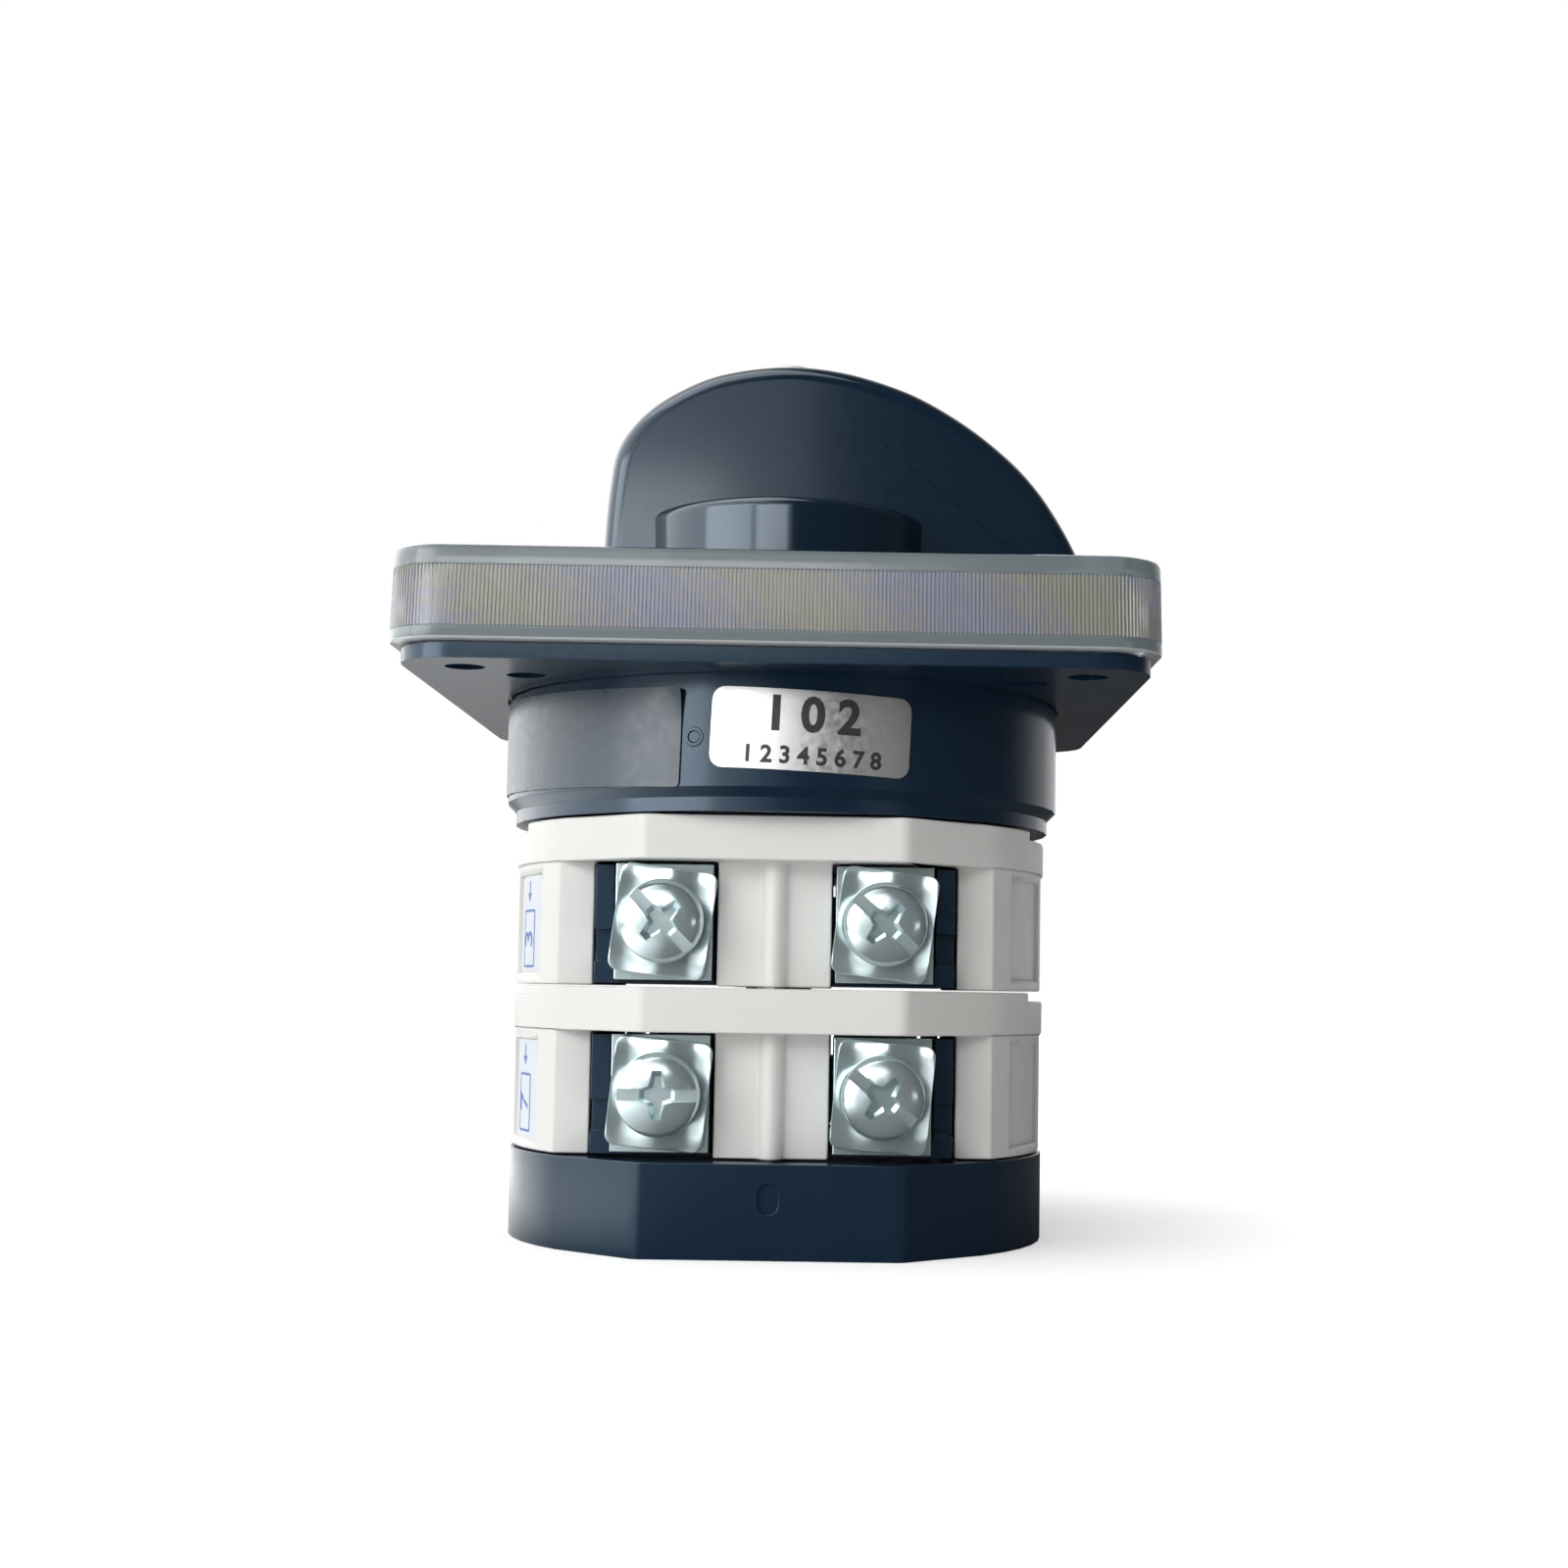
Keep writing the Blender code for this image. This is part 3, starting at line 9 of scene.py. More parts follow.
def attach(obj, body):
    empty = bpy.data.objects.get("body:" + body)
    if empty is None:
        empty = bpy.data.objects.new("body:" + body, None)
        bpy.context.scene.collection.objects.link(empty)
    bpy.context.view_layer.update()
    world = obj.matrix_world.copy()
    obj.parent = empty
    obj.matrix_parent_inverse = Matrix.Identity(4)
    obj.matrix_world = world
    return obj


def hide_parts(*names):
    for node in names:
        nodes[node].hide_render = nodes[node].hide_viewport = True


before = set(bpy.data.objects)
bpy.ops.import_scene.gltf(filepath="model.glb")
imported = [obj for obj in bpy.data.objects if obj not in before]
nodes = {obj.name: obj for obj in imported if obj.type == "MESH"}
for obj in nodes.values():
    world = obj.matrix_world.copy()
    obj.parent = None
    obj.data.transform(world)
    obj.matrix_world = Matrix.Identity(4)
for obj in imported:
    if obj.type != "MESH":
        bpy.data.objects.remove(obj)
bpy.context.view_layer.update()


# End cap
# The round navy cap that closes the last stage and carries the lower bearing of the spindle.
# Injection moulded in glass-filled plastic, with a satin skin; two tie bolts are sunk in its foot.
def textured(tree, kind, **settings):
    """A procedural texture on the piece's own coordinates."""
    place = tree.nodes.new("ShaderNodeTexCoord")
    texture = tree.nodes.new(kind)
    for socket, value in settings.items():
        texture.inputs[socket.replace("_", " ")].default_value = value
    tree.links.new(place.outputs["Object"], texture.inputs["Vector"])
    return texture


def mixed(tree, factor, first, second):
    """A colour between two, each given as numbers or as another node's output."""
    mix = tree.nodes.new("ShaderNodeMix")
    mix.data_type = "RGBA"
    tree.links.new(factor, mix.inputs["Factor"])
    for socket, color in (("A", first), ("B", second)):
        if isinstance(color, tuple):
            mix.inputs[socket].default_value = (*color, 1)
        else:
            tree.links.new(color, mix.inputs[socket])
    return mix.outputs["Result"]


def ranged(tree, value, start, end, low, high):
    """A number that goes from low to high while value goes from start to end."""
    node = tree.nodes.new("ShaderNodeMapRange")
    for socket, number in (("From Min", start), ("From Max", end), ("To Min", low), ("To Max", high)):
        node.inputs[socket].default_value = number
    tree.links.new(value, node.inputs["Value"])
    return node.outputs["Result"]


def fresh_material(name, **constants):
    """A new material, its node tree and its shader, with what is the same all over set on the shader."""
    material = bpy.data.materials.new(name)
    material.use_nodes = True
    shader = material.node_tree.nodes["Principled BSDF"]
    for socket, value in constants.items():
        shader.inputs[socket.replace("_", " ")].default_value = value
    return material, material.node_tree, shader


def moulded_plastic(name, color, mottle, roughness, grain, bump, **constants):
    """A moulded plastic: faint flow mottle in the colour, fine grain in gloss and relief."""
    material, tree, shader = fresh_material(name, **constants)
    flow = textured(tree, "ShaderNodeTexNoise", Scale=90, Detail=4)
    tree.links.new(mixed(tree, flow.outputs["Fac"], color, mottle), shader.inputs["Base Color"])
    skin = textured(tree, "ShaderNodeTexNoise", Scale=grain, Detail=3)
    gloss = ranged(tree, skin.outputs["Fac"], 0.3, 0.7, roughness * 0.85, roughness * 1.15)
    tree.links.new(gloss, shader.inputs["Roughness"])
    relief = tree.nodes.new("ShaderNodeBump")
    relief.inputs["Strength"].default_value = bump
    relief.inputs["Distance"].default_value = 0.0001
    tree.links.new(skin.outputs["Fac"], relief.inputs["Height"])
    tree.links.new(relief.outputs["Normal"], shader.inputs["Normal"])
    return material


def add_piece(name, bm, material, body, *replaced, sharp=40):
    """A built mesh as a piece that rides on a body and stands for the nodes it replaces."""
    mesh = bpy.data.meshes.new(name)
    bm.to_mesh(mesh)
    bm.free()
    mesh.materials.append(material)
    mesh.shade_smooth()
    mesh.set_sharp_from_angle(angle=math.radians(sharp))
    piece = bpy.data.objects.new(name, mesh)
    bpy.context.scene.collection.objects.link(piece)
    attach(piece, body)
    if replaced:
        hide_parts(*replaced)
    return piece


def even_shading(piece):
    """Large flat faces keep their even shading beside the small round ones."""
    weights = piece.modifiers.new("even_shading", "WEIGHTED_NORMAL")
    weights.keep_sharp = True


def softened(node, material, edge, crisp=None):
    """A node's own shape, its triangles joined and its edges slightly rounded, but for the crisp ones."""
    bm = bmesh.new()
    bm.from_mesh(nodes[node].data)
    bmesh.ops.remove_doubles(bm, verts=bm.verts, dist=1e-6)
    bmesh.ops.dissolve_limit(bm, angle_limit=math.radians(0.5), verts=bm.verts, edges=bm.edges)
    corners = []
    for line in bm.edges:
        if len(line.link_faces) != 2 or line.calc_face_angle() < math.radians(30):
            continue
        if crisp is None or not crisp((line.verts[0].co + line.verts[1].co) / 2):
            corners.append(line)
    bmesh.ops.bevel(
        bm, geom=corners, offset=edge, offset_type="OFFSET", affect="EDGES", segments=2,
        profile=0.5, material=-1, clamp_overlap=True,
    )
    piece = add_piece(node + "_moulding", bm, material, "housing", node, sharp=50)
    even_shading(piece)


sky_tint = (0.70, 0.87, 1.0, 1)
navy_satin = moulded_plastic(
    "navy_satin", (0.0060, 0.0185, 0.039), (0.0074, 0.022, 0.045), 0.20, 1500, 0.04, Specular_Tint=sky_tint
)
softened("end_cap", navy_satin, 0.00035)

# Stage housings
# The two off-white stages that hold the contacts, moulded in thermoset for its arc resistance.
# Each is a flange on pillars, open at the front and back where the terminals stand.
ivory = moulded_plastic(
    "ivory_thermoset", (0.80, 0.795, 0.77), (0.76, 0.755, 0.73), 0.38, 1800, 0.10, Specular_IOR_Level=0.3
)
recess_reach = 0.0130
recess_radius = 0.0246
for stage, low, high in (("lower", 0.0087, 0.0184), ("upper", 0.0234, 0.0331)):

    def in_label_recess(point):
        near_side = abs(point.y) < recess_reach and math.hypot(point.x, point.y) < recess_radius
        return near_side and low < point.z < high

    softened(f"{stage}_housing", ivory, 0.00018, crisp=in_label_recess)
    softened(f"{stage}_block", navy_satin, 0.00012)


# Terminals, clamp plates and screws
# Zinc-plated pressings, passivated blue. A pan-head screw presses each plate onto its wires.
# The plates are corrugated and each leans at its own angle; the heads have a slot and a cross.
def plated_metal(name, color, second, roughness, grain, **constants):
    """Plated or bare metal with a faint cloudy tone and fine uneven gloss."""
    material, tree, shader = fresh_material(name, **{"Metallic": 1.0, **constants})
    cloud = textured(tree, "ShaderNodeTexNoise", Scale=grain, Detail=5)
    tree.links.new(mixed(tree, cloud.outputs["Fac"], color, second), shader.inputs["Base Color"])
    gloss = ranged(tree, cloud.outputs["Fac"], 0.3, 0.7, roughness * 0.8, roughness * 1.3)
    tree.links.new(gloss, shader.inputs["Roughness"])
    return material


def shaped_panel(width, height, corner, thickness, columns, rows, place):
    """A thin panel with round corners. place turns (across, up, depth) into a point."""
    across = {round(-width / 2 + width * step / columns, 7) for step in range(columns + 1)}
    for step in range(1, 6):
        reach = width / 2 - corner + corner * math.sin(math.radians(step * 18))
        across |= {round(reach, 7), round(-reach, 7)}
    across = sorted(across)
    last = len(across) - 1
    bm = bmesh.new()
    bmesh.ops.create_grid(bm, x_segments=last, y_segments=rows, size=0.5)
    for vert in bm.verts:
        x = across[round((vert.co.x + 0.5) * last)]
        past = max(0.0, abs(x) - (width / 2 - corner))
        top = height / 2 - corner + math.sqrt(max(0.0, corner ** 2 - past ** 2))
        vert.co = (x, top * 2 * vert.co.y, 0)
    back = bmesh.ops.extrude_face_region(bm, geom=list(bm.faces))["geom"]
    for part in back:
        if isinstance(part, bmesh.types.BMVert):
            part.co.z = thickness
    for vert in bm.verts:
        vert.co = place(*vert.co)
    bmesh.ops.recalc_face_normals(bm, faces=bm.faces)
    return bm


def drawn_through(bm, outlines):
    """A skin drawn from the first outline through the others, closed by a face at both ends."""
    start = [bm.verts.new(point) for point in outlines[0]]
    head = bm.faces.new(start)
    for outline in outlines[1:]:
        head = bmesh.ops.extrude_discrete_faces(bm, faces=[head])["faces"][0]
        for vert, point in zip(head.verts, outline):
            vert.co = point
    foot = bm.faces.new(start)
    bmesh.ops.recalc_face_normals(bm, faces=bm.faces)
    return foot, head


def turned(profile, steps):
    """A body of revolution about Z through its profile of (radius, height)."""
    bm = bmesh.new()
    corners = [bm.verts.new((radius, 0, height)) for radius, height in profile]
    lines = [bm.edges.new(pair) for pair in zip(corners, corners[1:])]
    bmesh.ops.spin(
        bm, geom=corners + lines, axis=(0, 0, 1), cent=(0, 0, 0), angle=2 * math.pi,
        steps=steps, use_merge=True,
    )
    bmesh.ops.remove_doubles(bm, verts=bm.verts, dist=1e-7)
    bmesh.ops.recalc_face_normals(bm, faces=bm.faces)
    return bm


zinc = plated_metal("zinc_plate", (0.70, 0.82, 0.83), (0.58, 0.70, 0.73), 0.19, 700, Metallic=0.78)
terminal_x = 0.0095
clamp_height = 0.0093
clamp_width = 0.0083
clamp_corner = 0.0009
clamp_thickness = 0.0011
clamp_middle_y = 0.01997
clamp_edge = 0.00012
corrugation = 0.00019
screw_seat_y = 0.02094
slot_width = 0.00105
slot_floor = 0.00125
cross_floor = 0.0006
axis_height = {"lower": 0.0136, "upper": 0.02825}
clamp_tilt = {
    ("upper", "left", "front"): 7.0, ("upper", "right", "front"): 7.0,
    ("lower", "left", "front"): 5.5, ("lower", "right", "front"): 5.0,
    ("upper", "left", "back"): 3.0, ("upper", "right", "back"): 6.0,
    ("lower", "left", "back"): 6.5, ("lower", "right", "back"): 4.0,
}
slot_turn = {
    ("upper", "left", "front"): -45, ("upper", "right", "front"): -42,
    ("lower", "left", "front"): 0, ("lower", "right", "front"): -38,
    ("upper", "left", "back"): -15, ("upper", "right", "back"): -70,
    ("lower", "left", "back"): 60, ("lower", "right", "back"): -55,
}

head = turned([
    (0, 0.00200), (0.0012, 0.00197), (0.0022, 0.00188), (0.0029, 0.00170), (0.0033, 0.00142),
    (0.00352, 0.00108), (0.0036, 0.0007), (0.0036, 0.0002), (0.00352, 0.00002), (0.00175, 0),
    (0.00175, -0.006), (0, -0.006),
], 48)
head_mesh = bpy.data.meshes.new("screw_blank")
head.to_mesh(head_mesh)
head.free()
screw_blank = bpy.data.objects.new("screw_blank", head_mesh)
bpy.context.scene.collection.objects.link(screw_blank)
slot = bmesh.new()
slab = bmesh.ops.create_cube(slot, size=1.0)["verts"]
bmesh.ops.scale(slot, vec=(0.0090, slot_width, 0.002), verts=slab)
bmesh.ops.translate(slot, vec=(0, 0, slot_floor + 0.001), verts=slab)
slot_mesh = bpy.data.meshes.new("slot_cutter")
slot.to_mesh(slot_mesh)
slot.free()
slot_cutter = bpy.data.objects.new("slot_cutter", slot_mesh)
bpy.context.scene.collection.objects.link(slot_cutter)
cross = bmesh.new()
arms = []
for quarter in range(4):
    for x, y in ((0.00205, -0.00042), (0.00205, 0.00042), (0.00075, 0.00075)):
        arms.append(Matrix.Rotation(math.radians(90 * quarter), 2) @ Vector((x, y)))
drawn_through(cross, [
    [(corner.x * 0.55, corner.y * 0.75, cross_floor) for corner in arms],
    [(corner.x * 1.12, corner.y * 1.12, cross_floor + 0.002) for corner in arms],
])
cross_mesh = bpy.data.meshes.new("cross_cutter")
cross.to_mesh(cross_mesh)
cross.free()
cross_cutter = bpy.data.objects.new("cross_cutter", cross_mesh)
bpy.context.scene.collection.objects.link(cross_cutter)
for cutter in (slot_cutter, cross_cutter):
    cut = screw_blank.modifiers.new(cutter.name, "BOOLEAN")
    cut.operation = "DIFFERENCE"
    cut.solver = "EXACT"
    cut.object = cutter
graph = bpy.context.evaluated_depsgraph_get()
screw_shape = bpy.data.meshes.new_from_object(screw_blank.evaluated_get(graph))
for helper in (screw_blank, slot_cutter, cross_cutter):
    bpy.data.objects.remove(helper)

for (stage, side, face), tilt in clamp_tilt.items():
    front = -1 if face == "front" else 1
    place_x = terminal_x if side == "right" else -terminal_x
    height = axis_height[stage]
    upright = Matrix.Rotation(0 if front < 0 else math.pi, 4, "Z")
    lean = Matrix.Rotation(math.radians(tilt), 4, "Y")
    stand = Matrix.Translation((place_x, 0, height)) @ upright @ lean

    def on_terminal(across, up, depth):
        wave = corrugation * math.cos(3 * math.pi * across / clamp_width)
        return stand @ Vector((across, -clamp_middle_y - clamp_thickness / 2 - wave + depth, up))

    bm = shaped_panel(clamp_width, clamp_height, clamp_corner, clamp_thickness, 30, 6, on_terminal)
    rim = [line for line in bm.edges if line.calc_face_angle(0) > math.radians(60)]
    bmesh.ops.bevel(
        bm, geom=rim, offset=clamp_edge, offset_type="OFFSET", affect="EDGES", segments=2,
        profile=0.5, material=-1,
    )
    add_piece(f"{stage}_clamp_plate_{side}_{face}", bm, zinc, "housing", f"{stage}_clamp_{side}_{face}")
    spin = Matrix.Rotation(math.radians(slot_turn[(stage, side, face)]), 4, "Z")
    facing = Matrix.Rotation(math.radians(90), 4, "X")
    bm = bmesh.new()
    bm.from_mesh(screw_shape)
    seat = Matrix.Translation((place_x, front * screw_seat_y, height)) @ upright @ facing @ spin
    bmesh.ops.transform(bm, matrix=seat, verts=bm.verts)
    screw = f"{stage}_screw_{side}_{face}"
    add_piece(f"{stage}_pan_head_{side}_{face}", bm, zinc, "housing", screw, sharp=32)
    softened(f"{stage}_terminal_{side}_{face}", zinc, 0.0001)
bpy.data.meshes.remove(screw_shape)

# Contacts and cams
# Grey acetal cams and plungers, silver-plated copper bridges and hard-drawn steel springs.
# They are hidden in the stages, so the working shapes are used as they are.
def dress(material, *names):
    """Give a material to CAD nodes that are shown as they are."""
    for name in names:
        for slot in nodes[name].material_slots:
            slot.material = material


acetal = moulded_plastic("grey_acetal", (0.33, 0.34, 0.35), (0.37, 0.38, 0.39), 0.42, 1500, 0.08)
copper = plated_metal("silvered_copper", (0.80, 0.62, 0.50), (0.74, 0.70, 0.66), 0.28, 1200)
steel = plated_metal("bright_steel", (0.62, 0.62, 0.62), (0.54, 0.54, 0.55), 0.28, 1500)
for stage in ("lower", "upper"):
    dress(acetal, f"{stage}_cam")
    for side in ("left", "right"):
        dress(acetal, f"{stage}_plunger_{side}")
        dress(copper, f"{stage}_bridge_{side}")
        dress(steel, f"{stage}_contact_spring_{side}")

# Spindle, tie bolts and nuts
# Bright drawn steel: the square spindle that turns the cams, and the screw that holds the knob on it.
# Two long bolts clamp the whole stack from the end cap to the front plate.
dress(steel, "spindle", "tie_bolt_front", "tie_bolt_back", "tie_nut_front", "tie_nut_back", "knob_screw")

# Detent unit
# A navy drum at the top of the stack, with a star wheel on the spindle inside it.
# Two followers and their springs press on the star and hold the knob's three positions.
softened("detent_housing", navy_satin, 0.00015)
dress(acetal, "detent_star", "detent_follower_left", "detent_follower_right")
dress(steel, "detent_spring_left", "detent_spring_right")

# Drum labels
# A dark nameplate foil at the left, its top corner lifting, and a silver paper label at the front.
# Both are glued round the drum. The foil is bare; the label has plain numbers of the positions and screws.
drum_radius = 0.02584
label_middle = 0.04415
label_thickness = 0.00008


def round_body(radius, turn, middle, angle=0.0):
    """Lay a flat point on a cylinder: turn is degrees from the front, positive to the right."""
    spin = math.radians(angle)

    def place(across, up, depth):
        x = across * math.cos(spin) - up * math.sin(spin)
        z = across * math.sin(spin) + up * math.cos(spin)
        around = math.radians(turn) + x / radius
        reach = radius - depth
        return Vector((reach * math.sin(around), -reach * math.cos(around), middle + z))

    return place


dark_foil = moulded_plastic(
    "dark_foil", (0.030, 0.052, 0.074), (0.036, 0.059, 0.082), 0.30, 1200, 0.03
)
foil_place = round_body(drum_radius + label_thickness, -64.8, label_middle, -1.5)


def foil_lift(across, up, depth):
    """The foil's top right corner comes away from the drum."""
    point = foil_place(across, up, depth)
    lift = max(0.0, across - 0.0180) / 0.0032 * max(0.0, up - 0.0005) / 0.0036
    outward = Vector((point.x, point.y, 0)).normalized()
    return point + outward * 0.0006 * min(lift, 1.0) ** 2


bm = shaped_panel(0.0424, 0.0084, 0.0004, label_thickness, 60, 12, foil_lift)
add_piece("nameplate_foil", bm, dark_foil, "housing")
silver_paper = plated_metal("silver_paper", (0.86, 0.86, 0.86), (0.78, 0.79, 0.80), 0.42, 1600)
label_turn = 6.9
label_lean = -2.2
label_place = round_body(drum_radius + label_thickness, label_turn, label_middle, label_lean)
bm = shaped_panel(0.0172, 0.0068, 0.0011, label_thickness, 40, 4, label_place)
add_piece("silver_label", bm, silver_paper, "housing")
ink = moulded_plastic("black_ink", (0.025, 0.028, 0.032), (0.035, 0.038, 0.042), 0.5, 1500, 0.02)


def lettering(name, words, size, material, place, weight=0.0):
    """Plain figures as thin flat shapes, laid where place puts them."""
    curve = bpy.data.curves.new(name, "FONT")
    curve.body = words
    curve.size = size
    curve.align_x = "CENTER"
    curve.align_y = "CENTER"
    curve.resolution_u = 4
    curve.offset = weight
    curve.extrude = 0.00001
    guide = bpy.data.objects.new(name + "_guide", curve)
    bpy.context.scene.collection.objects.link(guide)
    graph = bpy.context.evaluated_depsgraph_get()
    flat = bpy.data.meshes.new_from_object(guide.evaluated_get(graph))
    bpy.data.objects.remove(guide)
    bm = bmesh.new()
    bm.from_mesh(flat)
    bpy.data.meshes.remove(flat)
    for vert in bm.verts:
        vert.co = place(vert.co.x, vert.co.y, -vert.co.z)
    add_piece(name, bm, material, "housing")


for name, words, size, height, weight in (
    ("label_positions", "1 0 2", 0.0040, 0.04535, 0.00014),
    ("label_screws", "1 2 3 4 5 6 7 8", 0.0020, 0.04195, 0.00006),
):
    place = round_body(drum_radius + 0.00010, label_turn, height, label_lean)
    lettering(name, words, size, ink, place, weight=weight)

# Drum gate mark
# The round witness that the moulding gate leaves, between the two labels.
# A low ring round a flat spot, in the drum's own plastic.
bm = turned([
    (0, 0.00006), (0.00045, 0.00006), (0.00055, 0.00016), (0.00078, 0.00016), (0.00085, 0),
], 24)
gate_place = round_body(drum_radius - 0.0001, -15.4, 0.0436)
for vert in bm.verts:
    vert.co = gate_place(vert.co.x, vert.co.y, -vert.co.z)
bmesh.ops.recalc_face_normals(bm, faces=bm.faces)
add_piece("drum_gate_mark", bm, navy_satin, "housing")

# Stage labels
# Pale paper labels in the recesses of the side walls: a boxed terminal number, with an arrow above it.
# The two recesses at the right front are bare, as no label can be seen there.
label_paper = moulded_plastic(
    "label_paper", (0.70, 0.74, 0.78), (0.66, 0.71, 0.76), 0.5, 1400, 0.04
)
blue_ink = moulded_plastic("blue_ink", (0.05, 0.12, 0.36), (0.06, 0.14, 0.40), 0.5, 1500, 0.02)
label_radius = 0.02418
print_radius = label_radius + 0.00002
box_half_width = 0.0017
box_top = 0.0012
box_height = 0.0050
line_width = 0.00022
print_thickness = 0.00004
arrow_points = [
    (0, -0.0008), (0.0006, 0), (0.00015, 0), (0.00015, 0.0011),
    (-0.00015, 0.0011), (-0.00015, 0), (-0.0006, 0),
]
stage_numbers = {
    ("upper", "left", "front"): "3", ("upper", "left", "back"): "4", ("upper", "right", "back"): "2",
    ("lower", "left", "front"): "7", ("lower", "left", "back"): "8", ("lower", "right", "back"): "6",
}
for (stage, side, face), number in stage_numbers.items():
    middle = axis_height[stage] - 0.0001
    toward = 68.2 if face == "front" else 111.8
    if side == "left":
        toward = -toward
    tag = f"{stage}_{side}_{face}"
    on_wall = round_body(label_radius, toward, middle)
    bm = shaped_panel(0.0072, 0.0086, 0.0003, label_thickness, 12, 4, on_wall)
    add_piece(f"stage_label_{tag}", bm, label_paper, "housing")
    upright = round_body(print_radius, toward, middle - 0.0013, 90)
    lettering(f"stage_number_{tag}", number, 0.0038, blue_ink, upright)
    for index, (x, z, width, height) in enumerate((
        (0, box_top, box_half_width * 2, line_width),
        (0, box_top - box_height, box_half_width * 2, line_width),
        (-box_half_width, box_top - box_height / 2, line_width, box_height),
        (box_half_width, box_top - box_height / 2, line_width, box_height),
    )):
        on_print = round_body(print_radius, toward + math.degrees(x / print_radius), middle + z)
        line = shaped_panel(width, height, 0.00005, print_thickness, 4, 1, on_print)
        add_piece(f"number_box_{tag}_{index}", line, blue_ink, "housing")
    on_print = round_body(print_radius, toward, middle + 0.0028)
    arrow = bmesh.new()
    drawn_through(arrow, [
        [on_print(x, z, depth) for x, z in arrow_points] for depth in (0.0, print_thickness)
    ])
    add_piece(f"number_arrow_{tag}", arrow, blue_ink, "housing")

# Front plate
# A navy moulded tray that the clear cover drops into.
# Its flat underside clamps on the panel, by two screw holes at each corner.
softened("base_plate", navy_satin, 0.00015)

# Legend sheet
# A pale grey printed film that lies under the clear cover.
# It has the three positions of the knob, with a tick at each.
film = moulded_plastic("legend_film", (0.42, 0.45, 0.46), (0.40, 0.43, 0.44), 0.35, 2000, 0.03)
dress(film, "legend_sheet")
film_top = 0.05662
number_reach = 0.0262
tick_reach = 0.0200
for words, turn in (("1", 60), ("0", 0), ("2", -60)):
    heading = math.radians(turn)

    def on_film(across, up, depth):
        x = number_reach * math.cos(heading) + up
        y = number_reach * math.sin(heading) - across
        return Vector((x, y, film_top - depth))

    def tick_on_film(across, up, depth):
        reach = tick_reach + across
        x = reach * math.cos(heading) - up * math.sin(heading)
        y = reach * math.sin(heading) + up * math.cos(heading)
        return Vector((x, y, film_top - depth))

    lettering(f"position_{words}", words, 0.0062, ink, on_film)
    bm = shaped_panel(0.0040, 0.0006, 0.0001, 0.00003, 4, 1, tick_on_film)
    add_piece(f"position_tick_{words}", bm, ink, "housing")

# Clear cover
# Moulded in clear acrylic: a smooth top band, and a skirt of fine upright ribs down to a plain foot.
# The top is a clear window over the legend; the skirt's ribs and bands carry painted light: diagonal moiré
# stripes, a painted dark shade on the smooth bands and a painted highlight along the foot.
cover_foot = 0.05045
cover_top = 0.05825
cover_half = 0.0320
cover_corner = 0.0048
cover_wall = 0.00165
cover_thickness = 0.0015
cover_hole = 0.010415
draft = 0.00015
rib_foot = cover_foot + 0.00118
rib_head = cover_top - 0.00172
rib_depth = 0.00012
rib_count = 752
points_per_rib = 4


def cover_rim(inset, height, ribs=False, count=rib_count * points_per_rib):
    """One closed line round the cover. Where it has ribs, two of each rib's four points are set back."""
    half = cover_half - draft * (height - cover_foot) / (cover_top - cover_foot)
    straight = 2 * (half - cover_corner)
    bend = cover_corner * math.pi / 2
    points = []
    for index in range(count):
        way = (index + 0.5) / count * 4 * (straight + bend)
        side, along = divmod(way, straight + bend)
        if along < straight:
            x, y, nx, ny = half, along - straight / 2, 1.0, 0.0
        else:
            angle = (along - straight) / cover_corner
            nx, ny = math.cos(angle), math.sin(angle)
            x = half - cover_corner + cover_corner * nx
            y = half - cover_corner + cover_corner * ny
        depth = inset
        if ribs and index % points_per_rib in (0, points_per_rib - 1):
            depth += rib_depth
        x -= nx * depth
        y -= ny * depth
        for quarter in range(int(side)):
            x, y = -y, x
        points.append((x, y, height))
    return points


def round_rim(radius, height, count=96):
    """A closed circle round the spindle's axis."""
    turns = [2 * math.pi * step / count for step in range(count)]
    return [(radius * math.cos(turn), radius * math.sin(turn), height) for turn in turns]


def reckoned(tree, operation, *values):
    """The result of a sum on numbers and other nodes' outputs."""
    node = tree.nodes.new("ShaderNodeMath")
    node.operation = operation
    for socket, value in zip(node.inputs, values):
        if isinstance(value, float):
            socket.default_value = value
        else:
            tree.links.new(value, socket)
    return node.outputs["Value"]


outside = [
    cover_rim(0.00025, cover_foot), cover_rim(0.00006, cover_foot + 0.00008),
    cover_rim(0, cover_foot + 0.00025), cover_rim(0, rib_foot - 0.00013),
    cover_rim(0, rib_foot, ribs=True), cover_rim(0, rib_head, ribs=True),
    cover_rim(0, rib_head + 0.00012), cover_rim(0, cover_top - 0.00045),
    cover_rim(0.00013, cover_top - 0.00013), cover_rim(0.00045, cover_top),
]
inside = [
    cover_rim(cover_wall, height, count=96) for height in (cover_foot, cover_top - cover_thickness)
]
hole = [
    round_rim(cover_hole, cover_top - cover_thickness), round_rim(cover_hole, cover_top - 0.0002),
    round_rim(cover_hole + 0.0002, cover_top),
]
bm = bmesh.new()
borders = []
for outlines in (outside, inside, hole):
    foot, head = drawn_through(bm, outlines)
    borders.append((list(foot.edges), list(head.edges)))
    bmesh.ops.delete(bm, geom=[foot, head], context="FACES_ONLY")
(skirt_foot, skirt_head), (wall_foot, wall_head), (hole_foot, hole_head) = borders
for border in (skirt_foot + wall_foot, skirt_head + hole_head, wall_head + hole_foot):
    bmesh.ops.triangle_fill(bm, use_beauty=True, use_dissolve=False, edges=border)
bmesh.ops.recalc_face_normals(bm, faces=bm.faces)
for face in bm.faces:
    if face.calc_center_median().z > cover_top - cover_thickness * 1.05 and abs(face.normal.z) > 0.9:
        face.material_index = 1

